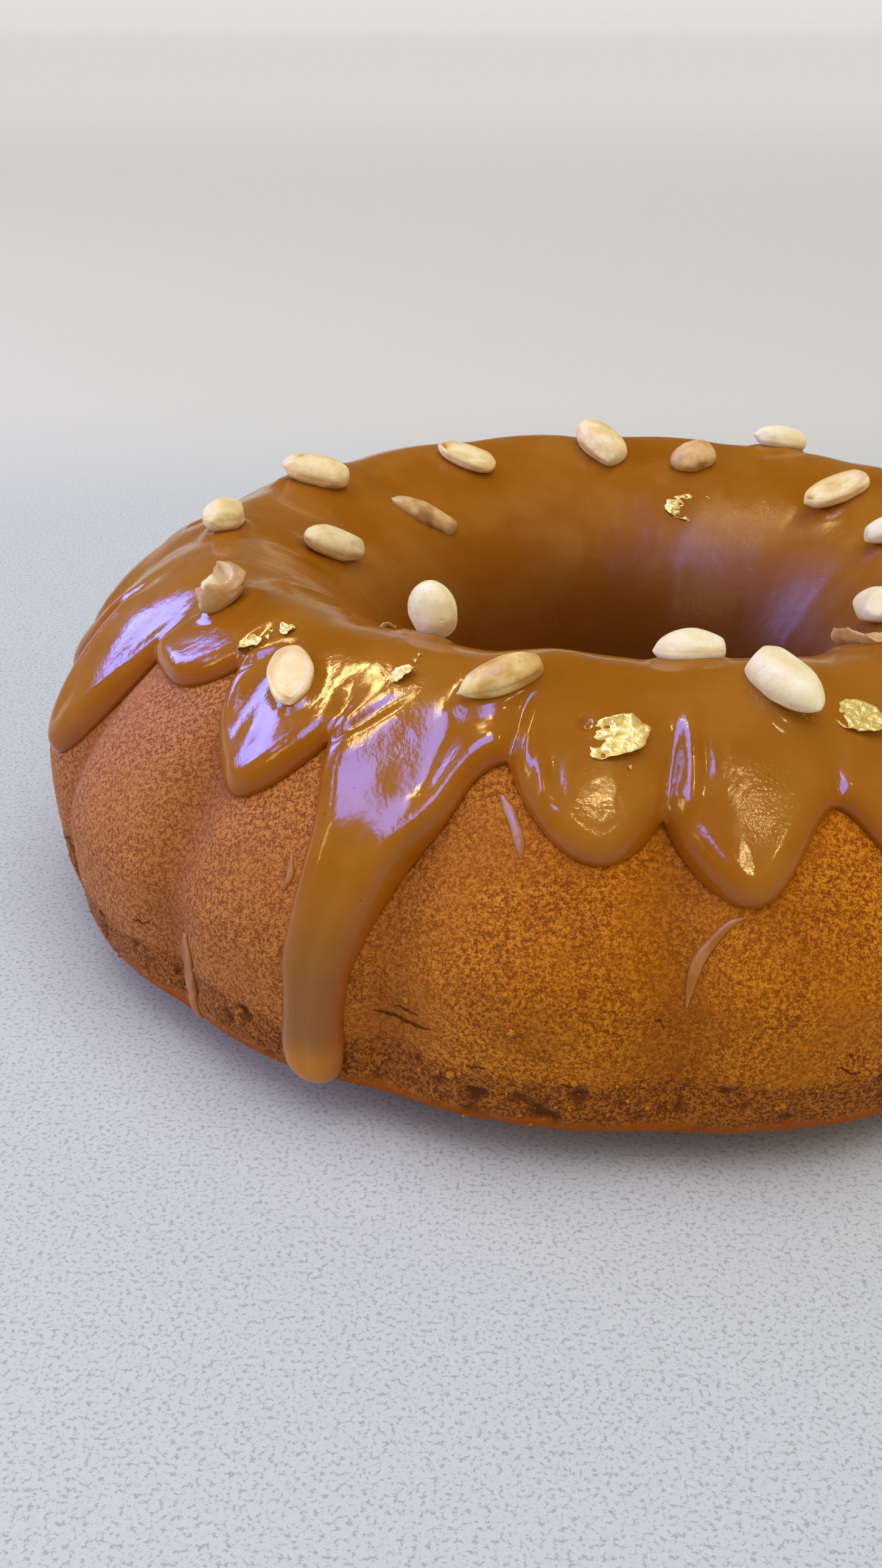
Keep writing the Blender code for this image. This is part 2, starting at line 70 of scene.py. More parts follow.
def smooth_step(low: float, high: float, value: Array) -> Array:
    """Rises from 0 at low to 1 at high, along 3t^2 - 2t^3."""
    t = np.clip((value - low) / (high - low), 0.0, 1.0)
    return t * t * (3.0 - 2.0 * t)


def bell(value: Array, width: float) -> Array:
    """Bell curve: 1 at zero, exp(-1) at plus or minus the width."""
    return np.exp(-(value / width) ** 2)


def lattice_noise(points: Array, seed: int) -> Array:
    """Smooth random values in space.

    Each whole-number corner has a value from an integer hash of its three coordinates, and a point
    takes the mean of its cell's eight corners, each weighted by a smooth step of the distance.

    Args:
        points: Places, with x, y and z along the last axis, one noise cell per unit.
        seed: Picks another pattern.

    Returns:
        Values from -1 to 1, one for each point.
    """
    cell = np.floor(points).astype(np.int64)
    share = points - cell
    share = share * share * (3.0 - 2.0 * share)
    total = np.zeros(points.shape[:-1])
    for corner in range(8):
        step = np.array([corner & 1, corner >> 1 & 1, corner >> 2 & 1])
        key = cell + step
        code = (key[..., 0] * 73856093 ^ key[..., 1] * 19349663 ^ key[..., 2] * 83492791
                ^ seed * 2654435761) & WORD_MASK
        code = (code ^ code >> 15) * 2246822519 & WORD_MASK
        code = (code ^ code >> 13) * 3266489917 & WORD_MASK
        code ^= code >> 16
        weight = np.prod(np.where(step == 1, share, 1.0 - share), axis=-1)
        total += weight * (code / 2.0 ** 31 - 1.0)
    return total


def rough_noise(points: Array, cell: float, octaves: int, seed: int, fade: float = 0.5) -> Array:
    """Sum of noise octaves, each of half the cell and a smaller share of the height of the last.

    Args:
        points: Places in metres.
        cell: Size of the coarsest cell in metres.
        octaves: How many octaves are summed.
        seed: Picks another pattern.
        fade: Height of each octave as a share of the last one's.

    Returns:
        Values from about -1 to 1.
    """
    total, height, reach = np.zeros(points.shape[:-1]), 1.0, 0.0
    for octave in range(octaves):
        total += height * lattice_noise(points / cell * 2.0 ** octave, seed + 31 * octave)
        reach += height
        height *= fade
    return total / reach


# ------------------------------------------------------------------ meshes

def grid_triangles(rows: int, columns: int, close_rows: bool, close_columns: bool) -> Array:
    """Triangles of a grid whose points are numbered row by row.

    Args:
        rows: Number of rows of points.
        columns: Number of points in each row.
        close_rows: Whether the last row joins the first.
        close_columns: Whether the last point of each row joins the first.

    Returns:
        One triangle of point numbers in each line.
    """
    row = np.arange(rows if close_rows else rows - 1)
    column = np.arange(columns if close_columns else columns - 1)
    r, c = np.meshgrid(row, column, indexing="ij")
    up, across = (r + 1) % rows, (c + 1) % columns
    a, b = r * columns + c, r * columns + across
    d, e = up * columns + c, up * columns + across
    return np.concatenate([np.stack([a, b, e], -1).reshape(-1, 3),
                           np.stack([a, e, d], -1).reshape(-1, 3)])


def capped_grid(points: Array) -> tuple[Array, Array]:
    """Closes a tube of loops with one point at each end, the mean of the end loop.

    Args:
        points: Loops of points: loop, point in the loop, coordinate.

    Returns:
        Points in one list, and the triangles of the closed body.
    """
    loops, count = points.shape[:2]
    flat = np.concatenate([points.reshape(-1, 3), [points[0].mean(0)], [points[-1].mean(0)]])
    first, last = loops * count, loops * count + 1
    i = np.arange(count)
    j = (i + 1) % count
    start = np.stack([np.full(count, first), j, i], -1)
    end = np.stack([np.full(count, last), (loops - 1) * count + i, (loops - 1) * count + j], -1)
    return flat, np.concatenate([grid_triangles(loops, count, False, True), start, end])


def signed_volume(points: Array, triangles: Array) -> float:
    """Volume of a closed body, negative where its faces point inwards."""
    a, b, c = (points[triangles[:, k]] for k in range(3))
    return float(np.einsum("ij,ij->i", a, np.cross(b, c)).sum() / 6.0)


def make_piece(name: str, points: Array, triangles: Array, finish: Material,
               masks: dict[str, Array] | None = None, closed: bool = True) -> Piece:
    """Puts a body into a mesh object at the origin, smooth, with its faces pointing out.

    Args:
        name: The piece's name.
        points: Its points in metres.
        triangles: Its triangles.
        finish: Its material.
        masks: Values for each point that the material reads by name.
        closed: Whether it is a closed body, which is turned inside out if its faces point inwards.

    Returns:
        The object.
    """
    if closed and signed_volume(points, triangles) < 0.0:
        triangles = triangles[:, ::-1]
    mesh = bpy.data.meshes.new(name)
    mesh.vertices.add(len(points))
    mesh.vertices.foreach_set("co", np.ascontiguousarray(points, np.float32).ravel())
    mesh.loops.add(3 * len(triangles))
    mesh.loops.foreach_set("vertex_index", np.ascontiguousarray(triangles, np.int32).ravel())
    mesh.polygons.add(len(triangles))
    mesh.polygons.foreach_set("loop_start", np.arange(0, 3 * len(triangles), 3, dtype=np.int32))
    mesh.update(calc_edges=True)
    mesh.shade_smooth()
    for mask, values in (masks or {}).items():
        layer = mesh.attributes.new(mask, "FLOAT", "POINT")
        layer.data.foreach_set("value", np.ascontiguousarray(values, np.float32).ravel())
    mesh.materials.append(finish)
    piece = bpy.data.objects.new(name, mesh)
    bpy.context.scene.collection.objects.link(piece)
    log.info("%s: %d triangles", name, len(triangles))
    return piece


def join_bodies(bodies: Sequence[tuple[Array, Array]]) -> tuple[Array, Array]:
    """Lists the points and triangles of several bodies as one."""
    starts = np.cumsum([0] + [len(points) for points, _ in bodies[:-1]])
    return (np.concatenate([points for points, _ in bodies]),
            np.concatenate([triangles + start for (_, triangles), start in zip(bodies, starts)]))


# ------------------------------------------------------------------ the ring's wall

@dataclass
class RingWall:
    """The bare fluted wall that crust, glaze and toppings share; sizes in metres and degrees."""

    wall_radius: float = 127.0 * MM
    wall_height: float = 35.0 * MM
    crest_radius: float = 85.8 * MM
    crest_height: float = 74.6 * MM
    hole_radius: float = 41.5 * MM
    hole_height: float = 30.0 * MM
    edge_radius: float = 122.6 * MM
    edge_height: float = 9.5 * MM
    foot_radius: float = 45.0 * MM
    foot_height: float = 5.0 * MM
    outer_fullness: float = 1.36
    inner_fullness: float = 1.24
    flutes: int = 16
    groove_azimuth: float = -1.0
    groove_reach: float = 2.6 * MM
    # girths in mm, and the depth of the grooves there as a share of their reach
    groove_girths: tuple[float, ...] = (0.0, 14.0, 32.0, 60.0, 86.0, 108.0, 135.0, 165.0, 200.0)
    groove_shares: tuple[float, ...] = (0.35, 0.80, 1.0, 0.85, 0.30, 0.55, 1.25, 1.15, 0.7)
    rise_height: float = 2.0 * MM
    rise_azimuth: float = -8.0
    rise_spread: float = 24.0
    rise_girth: float = 96.0 * MM
    rise_reach: float = 20.0 * MM
    film_top: float = 3.0 * MM
    film_shoulder: float = 2.1 * MM
    swell: float = 0.6 * MM
    swell_cell: float = 26.0 * MM
    crease_depth: float = 1.7 * MM

    def __post_init__(self) -> None:
        """Works out the cross-section.

        The outer wall is a quarter of a barrel up to the widest place, then a superellipse to the
        crest; the hole's wall is a second superellipse down to its narrowest place, and a short
        curve out to the foot. The girth is the running length, and the normal is the direction of
        the section turned by a right angle.
        """
        t = np.linspace(0.0, math.pi / 2, 160)
        back = t[::-1]
        self.radius = np.concatenate([
            self.edge_radius + (self.wall_radius - self.edge_radius) * np.sin(t),
            (self.crest_radius + (self.wall_radius - self.crest_radius)
             * np.cos(t) ** self.outer_fullness)[1:],
            (self.crest_radius - (self.crest_radius - self.hole_radius)
             * np.cos(back) ** self.inner_fullness)[1:],
            (self.foot_radius - (self.foot_radius - self.hole_radius) * np.cos(t))[1:],
        ])
        self.height = np.concatenate([
            self.edge_height + (self.wall_height - self.edge_height) * (1.0 - np.cos(t)),
            (self.wall_height + (self.crest_height - self.wall_height)
             * np.sin(t) ** self.outer_fullness)[1:],
            (self.hole_height + (self.crest_height - self.hole_height)
             * np.sin(back) ** self.inner_fullness)[1:],
            (self.hole_height - (self.hole_height - self.foot_height) * np.sin(t))[1:],
        ])
        run, rise = np.gradient(self.radius), np.gradient(self.height)
        length = np.hypot(run, rise)
        self.out, self.up = rise / length, -run / length
        steps = np.hypot(np.diff(self.radius), np.diff(self.height))
        self.girth = np.concatenate([[0.0], np.cumsum(steps)])
        self.crest_girth = float(self.girth[self.height.argmax()])
        self.full_girth = float(self.girth[-1])

    def outer_girth(self, height: Array) -> Array:
        """Girth at which the outer wall reaches a height."""
        rising = self.girth <= self.crest_girth
        return np.interp(height, self.height[rising], self.girth[rising])

    def hole_girth(self, height: Array) -> Array:
        """Girth at which the wall of the hole comes down to a height."""
        falling = self.girth >= self.crest_girth
        return np.interp(-height, -self.height[falling], self.girth[falling])

    def radius_at(self, girth: Array) -> Array:
        """Distance of the bare wall from the ring's axis."""
        return np.interp(girth, self.girth, self.radius)

    def degree(self, girth: Array) -> Array:
        """Length of one degree round the ring, in metres."""
        return np.radians(1.0) * self.radius_at(girth)

    def wave(self, azimuth: Array) -> Array:
        """Wave over the flutes: 1 at the bottom of each groove, 0 in the middle of each flute."""
        return 0.5 + 0.5 * np.cos(np.radians(azimuth - self.groove_azimuth) * self.flutes)

    def groove(self, azimuth: Array, girth: Array) -> Array:
        """Depth of the grooves between the flutes.

        Across the flutes it is the wave, sharpened by its fourth power, and along the girth it is
        deepest half way up the two walls and faint on the crest.
        """
        wave = self.wave(azimuth)
        share = np.interp(girth, np.array(self.groove_girths) * MM, self.groove_shares)
        return self.groove_reach * share * (0.45 * wave + 0.55 * wave ** 4)

    def rise(self, azimuth: Array, girth: Array) -> Array:
        """How much the wall stands out further where its crest is higher: two bell curves."""
        return (self.rise_height * bell(wrap(azimuth - self.rise_azimuth), self.rise_spread)
                * bell(girth - self.rise_girth, self.rise_reach))

    def place(self, azimuth: Array, girth: Array, lift: Array) -> Array:
        """Points at a distance from the fluted wall, measured along the section's normal."""
        offset = lift + self.rise(azimuth, girth) - self.groove(azimuth, girth)
        radius = self.radius_at(girth) + offset * np.interp(girth, self.girth, self.out)
        height = (np.interp(girth, self.girth, self.height)
                  + offset * np.interp(girth, self.girth, self.up))
        angle = np.radians(azimuth)
        return np.stack(np.broadcast_arrays(radius * np.sin(angle), -radius * np.cos(angle),
                                            height), axis=-1)

    def crease(self, azimuth: Array) -> Array:
        """Nearness to the bottom of a groove: the fifth power of the wave, from 0 to 1."""
        return self.wave(azimuth) ** 5

    def unevenness(self, azimuth: Array, girth: Array) -> Array:
        """Slow swellings of the baked wall, less a crease that sharpens each groove.

        The swellings are coarse noise of the wall's own places, and the creases fade out towards
        the crest and the lower edge.
        """
        slow = self.swell * rough_noise(self.place(azimuth, girth, 0.0), self.swell_cell, 2, 5)
        fade = smooth_step(-2.0 * MM, 12.0 * MM, girth) * smooth_step(80.0 * MM, 48.0 * MM, girth)
        return slow - self.crease_depth * self.crease(azimuth) * fade

    def film(self, girth: Array) -> Array:
        """Thickness of the glaze away from its edges: thicker on the crest than on the walls."""
        climb = np.clip(np.sin(girth / self.crest_girth * math.pi / 2), 0.0, 1.0)
        return self.film_shoulder + (self.film_top - self.film_shoulder) * climb ** 4

    def turned_axes(self, azimuth: float, girth: float, lift: float, turn: float,
                    lean: float) -> tuple[Array, Array, Array, Array]:
        """Place and axes of a piece that lies on the wall.

        Args:
            azimuth: Place round the ring in degrees.
            girth: Place along the cross-section in metres.
            lift: Height of the piece's middle over the bare wall.
            turn: Angle of its long axis from the ring's direction towards up the girth.
            lean: Angle by which one end is raised.

        Returns:
            Middle, long axis, side axis and high axis.
        """
        middle = self.place(np.array(azimuth), np.array(girth), lift)
        angle = math.radians(azimuth)
        along = np.array([math.cos(angle), math.sin(angle), 0.0])
        out = np.interp(girth, self.girth, self.out)
        normal = np.array([out * math.sin(angle), -out * math.cos(angle),
                           np.interp(girth, self.girth, self.up)])
        normal /= np.linalg.norm(normal)
        up_wall = np.cross(normal, along)
        flat = along * math.cos(math.radians(turn)) + up_wall * math.sin(math.radians(turn))
        long_axis = flat * math.cos(math.radians(lean)) + normal * math.sin(math.radians(lean))
        high_axis = normal * math.cos(math.radians(lean)) - flat * math.sin(math.radians(lean))
        return middle, long_axis, np.cross(high_axis, long_axis), high_axis


# ------------------------------------------------------------------ shader tools

class NodeBench:
    """Adds nodes to one tree and joins them."""

    def __init__(self, tree: bpy.types.NodeTree) -> None:
        """Keeps the tree."""
        self.tree = tree

    def set_input(self, target: Socket, value: object) -> None:
        """Links a socket, or sets a plain value, on an input."""
        if isinstance(value, bpy.types.NodeSocket):
            self.tree.links.new(value, target)
        elif isinstance(value, tuple) and len(value) == 3 and target.type == "RGBA":
            target.default_value = (*value, 1.0)
        else:
            target.default_value = value

    def fill(self, node: bpy.types.Node, **inputs: object) -> None:
        """Fills a node's inputs, whose names have _ for a space."""
        for name, value in inputs.items():
            self.set_input(node.inputs[name.replace("_", " ")], value)

    def node(self, kind: str, **inputs: object) -> bpy.types.Node:
        """Adds a node and fills its inputs."""
        made = self.tree.nodes.new(kind)
        self.fill(made, **inputs)
        return made

    def attribute(self, name: str) -> Socket:
        """Reads a mask that is stored on the mesh's points."""
        made = self.tree.nodes.new("ShaderNodeAttribute")
        made.attribute_name = name
        return made.outputs["Fac"]

    def object_place(self) -> Socket:
        """The place on the piece, in metres."""
        return self.tree.nodes.new("ShaderNodeTexCoord").outputs["Object"]

    def stretched(self, vector: Socket, scale: tuple[float, float, float]) -> Socket:
        """Scales a place along each axis."""
        return self.node("ShaderNodeMapping", Vector=vector, Scale=scale).outputs["Vector"]

    def along(self, vector: Socket, axis: str) -> Socket:
        """One coordinate of a place."""
        return self.node("ShaderNodeSeparateXYZ", Vector=vector).outputs[axis]

    def noise(self, vector: Socket, scale: object, detail: float = 2.0,
              roughness: float = 0.5) -> Socket:
        """Noise around a half, with a scale in cells for each metre."""
        return self.node("ShaderNodeTexNoise", Vector=vector, Scale=scale, Detail=detail,
                         Roughness=roughness).outputs["Fac"]

    def cells(self, vector: Socket, scale: object) -> Socket:
        """Distance to the nearest of scattered points."""
        return self.node("ShaderNodeTexVoronoi", Vector=vector, Scale=scale).outputs["Distance"]

    def math(self, operation: str, first: object, second: object = 0.0) -> Socket:
        """One sum, product or other operation on two values."""
        made = self.tree.nodes.new("ShaderNodeMath")
        made.operation = operation
        self.set_input(made.inputs[0], first)
        self.set_input(made.inputs[1], second)
        return made.outputs[0]

    def times(self, first: object, second: object) -> Socket:
        """Product of two values."""
        return self.math("MULTIPLY", first, second)

    def step(self, value: Socket, low: float, high: float, to_low: float = 0.0,
             to_high: float = 1.0) -> Socket:
        """Maps low to high onto another range, smoothly, and holds it outside."""
        made = self.node("ShaderNodeMapRange", Value=value, From_Min=low, From_Max=high,
                         To_Min=to_low, To_Max=to_high)
        made.interpolation_type = "SMOOTHSTEP"
        return made.outputs["Result"]

    def blend(self, share: object, first: object, second: object) -> Socket:
        """Mixes two colours; the mixer's colours are its inputs 6 and 7 and its output 2."""
        made = self.tree.nodes.new("ShaderNodeMix")
        made.data_type = "RGBA"
        self.set_input(made.inputs["Factor"], share)
        self.set_input(made.inputs[6], first)
        self.set_input(made.inputs[7], second)
        return made.outputs[2]

    def layered(self, colour: object, *layers: tuple[object, Socket, float]) -> Socket:
        """Lays colours over a first one, each by a share that is multiplied by a strength."""
        for layer, share, strength in layers:
            colour = self.blend(self.times(share, strength), colour, layer)
        return colour

    def bump(self, height: Socket, distance: float, normal: Socket | None = None) -> Socket:
        """Turns a height into a normal."""
        made = self.node("ShaderNodeBump", Height=height, Distance=distance, Strength=1.0)
        if normal is not None:
            self.tree.links.new(normal, made.inputs["Normal"])
        return made.outputs["Normal"]


def translucent(shader: bpy.types.Node, weight: float, reach: tuple[float, float, float]) -> None:
    """Lets light into a surface, with the reach of its red, green and blue in metres."""
    shader.inputs["Subsurface Weight"].default_value = weight
    shader.inputs["Subsurface Radius"].default_value = reach
    shader.inputs["Subsurface Scale"].default_value = 1.0


def new_finish(name: str) -> tuple[Material, NodeBench, bpy.types.Node]:
    """A material with its bench and its Principled shader."""
    material = bpy.data.materials.new(name)
    material.use_nodes = True
    shader = material.node_tree.nodes["Principled BSDF"]
    return material, NodeBench(material.node_tree), shader


def fine_grain_group() -> bpy.types.NodeTree:
    """Shared group: the fine baked or roasted grain of a surface.

    Two noises, one more than twice as fine as the other, give the grain; its mask is the grain
    drawn apart by the contrast, and scattered cells give pores, sunk in the height, that the crust
    darkens as painted shade.
    """
    known = bpy.data.node_groups.get("fine_grain")
    if known:
        return known
    group = bpy.data.node_groups.new("fine_grain", "ShaderNodeTree")
    for name, kind in (("Vector", "NodeSocketVector"), ("Scale", "NodeSocketFloat"),
                       ("Contrast", "NodeSocketFloat")):
        group.interface.new_socket(name, in_out="INPUT", socket_type=kind)
    for name in ("Mask", "Pores", "Height"):
        group.interface.new_socket(name, in_out="OUTPUT", socket_type="NodeSocketFloat")
    bench = NodeBench(group)
    given = group.nodes.new("NodeGroupInput")
    result = group.nodes.new("NodeGroupOutput")
    vector, scale, contrast = (given.outputs[k] for k in ("Vector", "Scale", "Contrast"))
    coarse = bench.noise(vector, scale, 3.0, 0.62)
    fine = bench.noise(vector, bench.times(scale, 2.3), 1.0)
    grain = bench.math("ADD", bench.times(coarse, 0.6), bench.times(fine, 0.4))
    apart = bench.times(bench.math("SUBTRACT", grain, 0.5), contrast)
    mask = bench.step(bench.math("ADD", apart, 0.5), 0.0, 1.0)
    cell = bench.cells(vector, bench.times(scale, 0.45))
    pores = bench.times(bench.step(cell, 0.02, 0.16, 1.0, 0.0), bench.step(coarse, 0.5, 0.62))
    bench.fill(result, Mask=mask, Pores=pores, Height=bench.math("SUBTRACT", grain, pores))
    return group


def fine_grain(bench: NodeBench, vector: Socket, scale: float,
               contrast: float) -> tuple[Socket, Socket, Socket]:
    """Places the shared grain in a material and returns its mask, pores and height."""
    made = bench.tree.nodes.new("ShaderNodeGroup")
    made.node_tree = fine_grain_group()
    bench.fill(made, Vector=vector, Scale=scale, Contrast=contrast)
    return made.outputs["Mask"], made.outputs["Pores"], made.outputs["Height"]


# ------------------------------------------------------------------ finishes

Colour = tuple[float, float, float]


@dataclass(frozen=True)
class CrustFinish:
    """Golden baked crust: fine speckle, slow patches, a pinker side towards -X that is painted cool
    light, and a darker crumbly band near the base.
    """

    light: Colour = (0.68, 0.255, 0.014)
    middle: Colour = (0.44, 0.134, 0.002)
    dark: Colour = (0.22, 0.054, 0.001)
    band_light: Colour = (0.38, 0.120, 0.012)
    band_dark: Colour = (0.12, 0.028, 0.003)
    # painted shade, with a reddish cast of reflected light, for the foot of the wall and the
    # underside
    under: Colour = (0.33, 0.074, 0.001)
    # painted cool light: the crust's pale and dark tones as a cool light from -X shows them
    cool_lit_pale: Colour = (0.53, 0.215, 0.078)
    cool_lit_dark: Colour = (0.24, 0.078, 0.027)
    sheen: Colour = (0.85, 0.75, 1.0)
    grain_scale: float = 1250.0
    contrast: float = 3.3
    patch_scale: float = 62.0
    # x in metres where the painted cool light begins, and where it is full towards -X
    cool_lit_from: float = -0.01
    cool_lit_to: float = -0.115
    grain_bump: float = 0.00042
    patch_bump: float = 0.0006

    def make(self) -> Material:
        """Builds the material; it reads the masks band, tone, hollow, crease and under."""
        material, bench, shader = new_finish("baked_crust")
        place = bench.object_place()
        mask, pores, height = fine_grain(bench, place, self.grain_scale, self.contrast)
        broad = bench.noise(place, self.patch_scale, 3.0, 0.6)
        tone = bench.attribute("tone")
        # painted cool light on the side towards -X
        cool_lit = bench.blend(bench.step(mask, 0.1, 0.85), self.cool_lit_dark, self.cool_lit_pale)
        crumbly = bench.blend(bench.step(mask, 0.2, 0.85), self.band_dark, self.band_light)
        # painted shade in the band's sunken hollows and in the pores
        shaded_pits = bench.math("MAXIMUM", bench.attribute("hollow"), bench.times(pores, 0.55))
        colour = bench.layered(
            self.dark,
            (self.middle, bench.step(mask, 0.05, 0.55), 1.0),
            (self.light, bench.step(mask, 0.5, 1.0), 1.0),
            (self.middle, bench.step(broad, 0.42, 0.66), 0.45),
            (self.light, bench.step(tone, 0.1, 1.0), 0.4),
            (self.dark, bench.step(tone, -0.1, -1.0), 0.45),
            # painted cool light: blends the side towards -X into the cooler tone
            (cool_lit, bench.step(bench.along(place, "X"), self.cool_lit_from, self.cool_lit_to), 0.75),
            # painted shade darkening the bottom of each groove
            (self.dark, bench.attribute("crease"), 0.42),
            (crumbly, bench.attribute("band"), 0.8),
            # painted shade at the foot of the wall and underneath
            (self.under, bench.attribute("under"), 1.0),
            (self.band_dark, shaded_pits, 1.0),
        )
        rough = bench.bump(height, self.grain_bump)
        bench.fill(shader, Base_Color=colour, Roughness=bench.step(mask, 0.0, 1.0, 0.72, 0.5),
                   Specular_IOR_Level=0.08, Sheen_Weight=0.02, Sheen_Roughness=0.6,
                   Sheen_Tint=self.sheen, Normal=bench.bump(broad, self.patch_bump, rough))
        translucent(shader, 0.12, (0.0022, 0.0010, 0.0005))
        return material


@dataclass(frozen=True)
class GlazeFinish:
    """Peanut butter caramel glaze: glossy, a little translucent, with fine specks and wrinkles."""

    body: Colour = (0.33, 0.112, 0.004)
    pale: Colour = (0.38, 0.150, 0.015)
    # thin edge: darker where the glaze thins over the crust, and deepened by painted shade where it
    # meets the crust
    thin: Colour = (0.33, 0.075, 0.001)
    dry: Colour = (0.28, 0.118, 0.016)
    bulb: Colour = (0.56, 0.215, 0.003)
    # painted shade deep in the hole
    deep: Colour = (0.105, 0.022, 0.001)
    speck: Colour = (0.12, 0.035, 0.004)
    roughness: float = 0.11
    specular: float = 0.36
    hole_dimming: float = 0.24
    ripple_bump: float = 0.00010
    wrinkle_bump: float = 0.00005

    def make(self) -> Material:
        """Builds the material; it reads the masks rim, dull, amber, mound, hole and deep."""
        material, bench, shader = new_finish("caramel_glaze")
        place = bench.object_place()
        cloud = bench.noise(place, 55.0, 3.0, 0.55)
        veil = bench.noise(bench.stretched(place, (1.0, 1.0, 0.35)), 210.0, 3.0, 0.6)
        specks = bench.step(bench.cells(place, 260.0), 0.035, 0.075, 1.0, 0.0)
        sparse = bench.step(bench.noise(place, 90.0, 1.0), 0.54, 0.62)
        dull, hole = bench.attribute("dull"), bench.attribute("hole")
        colour = bench.layered(
            self.body,
            (self.pale, bench.step(cloud, 0.38, 0.68), 1.0),
            (self.pale, bench.step(veil, 0.5, 0.75), 0.25),
            (self.pale, bench.attribute("mound"), 0.55),
            (self.dry, dull, 1.0),
            (self.bulb, bench.attribute("amber"), 1.0),
            # thin edge: partly the thin glaze's own colour, partly painted shade at the contact
            # line
            (self.thin, bench.attribute("rim"), 1.0),
            # painted shade on the lower wall of the hole
            (self.deep, bench.attribute("deep"), 1.0),
            (self.speck, bench.times(specks, sparse), 0.7),
        )
        gloss = bench.step(veil, 0.35, 0.8, self.roughness, self.roughness + 0.08)
        softer = bench.math("ADD", bench.times(dull, 0.24), bench.times(hole, 0.16))
        skin = bench.step(bench.noise(place, 70.0), 0.46, 0.6, 0.3, 1.0)
        flowing = bench.stretched(place, (1.0, 1.0, 0.6))
        wrinkle = bench.times(bench.noise(flowing, 1500.0, 2.0, 0.6), skin)
        fine = bench.bump(wrinkle, self.wrinkle_bump)
        bench.fill(shader, Base_Color=colour, Roughness=bench.math("ADD", gloss, softer), IOR=1.47,
                   Specular_IOR_Level=bench.math("SUBTRACT", self.specular,
                                                 bench.times(hole, self.hole_dimming)),
                   Normal=bench.bump(bench.noise(flowing, 320.0), self.ripple_bump, fine))
        translucent(shader, 0.22, (0.0040, 0.0016, 0.0005))
        return material


@dataclass(frozen=True)
class SmearFinish:
    """Thin dried glaze on the crust: a little paler than the crust, with a soft gloss."""

    colour: Colour = (0.43, 0.170, 0.042)
    deep: Colour = (0.37, 0.122, 0.012)
    roughness: float = 0.30

    def make(self) -> Material:
        """Builds the material."""
        material, bench, shader = new_finish("thin_glaze")
        place = bench.object_place()
        streak = bench.noise(bench.stretched(place, (1.0, 1.0, 0.4)), 420.0, 3.0, 0.6)
        colour = bench.blend(bench.step(streak, 0.38, 0.62), self.deep, self.colour)
        gloss = bench.step(streak, 0.3, 0.7, self.roughness, self.roughness + 0.15)
        bench.fill(shader, Base_Color=colour, Roughness=gloss, Normal=bench.bump(streak, 0.00012))
        translucent(shader, 0.3, (0.003, 0.0014, 0.0007))
        return material


@dataclass(frozen=True)
class PeanutFinish:
    """Blanched, lightly roasted peanut: cream with yellow and toasted places."""

    name: str = "peanut_pale"
    cream: Colour = (0.90, 0.78, 0.49)
    white: Colour = (0.97, 0.92, 0.74)
    yellow: Colour = (0.84, 0.64, 0.28)
    toast: Colour = (0.50, 0.22, 0.05)
    roughness: float = 0.5

    def make(self) -> Material:
        """Builds the material; it reads the masks toasted and ridge."""
        material, bench, shader = new_finish(self.name)
        place = bench.object_place()
        mask, _, height = fine_grain(bench, place, 620.0, 2.2)
        cloud = bench.noise(place, 170.0, 3.0, 0.6)
        colour = bench.layered(
            self.cream,
            (self.white, bench.step(cloud, 0.36, 0.64), 1.0),
            (self.yellow, bench.attribute("ridge"), 0.75),
            # toasted places, and inside a cup also painted shade
            (self.toast, bench.attribute("toasted"), 1.0),
            (self.yellow, bench.step(mask, 0.5, 0.0), 0.22),
        )
        gloss = bench.step(cloud, 0.3, 0.7, self.roughness - 0.1, self.roughness + 0.12)
        bench.fill(shader, Base_Color=colour, Roughness=gloss, Specular_IOR_Level=0.4,
                   Normal=bench.bump(height, 0.00016))
        translucent(shader, 0.18, (0.0020, 0.0014, 0.0008))
        return material


@dataclass(frozen=True)
class GoldFinish:
    """Crumpled gold leaf."""

    bright: Colour = (1.0, 0.87, 0.34)
    deep: Colour = (0.86, 0.58, 0.10)
    roughness: float = 0.34

    def make(self) -> Material:
        """Builds the material."""
        material, bench, shader = new_finish("gold_leaf")
        crease = bench.noise(bench.object_place(), 900.0, 3.0, 0.65)
        colour = bench.blend(bench.step(crease, 0.3, 0.7), self.deep, self.bright)
        gloss = bench.step(crease, 0.3, 0.7, self.roughness + 0.16, self.roughness)
        bench.fill(shader, Base_Color=colour, Metallic=0.5, Roughness=gloss,
                   Normal=bench.bump(crease, 0.0003))
        return material


@dataclass(frozen=True)
class CrackFinish:
    """Painted shade inside a crack: rough reddish crumb, darkened to stand in for the shade in the
    slit.
    """

    # painted shade: crumb darkened as the inside of a narrow crack looks
    colour: Colour = (0.08, 0.020, 0.005)
    lighter: Colour = (0.17, 0.052, 0.014)

    def make(self) -> Material:
        """Builds the material."""
        material, bench, shader = new_finish("crack_shade")
        mask, _, height = fine_grain(bench, bench.object_place(), 1300.0, 2.0)
        bench.fill(shader, Base_Color=bench.blend(mask, self.colour, self.lighter), Roughness=1.0,
                   Specular_IOR_Level=0.0, Normal=bench.bump(height, 0.0002))
        return material


# ------------------------------------------------------------------ crust and crumbs

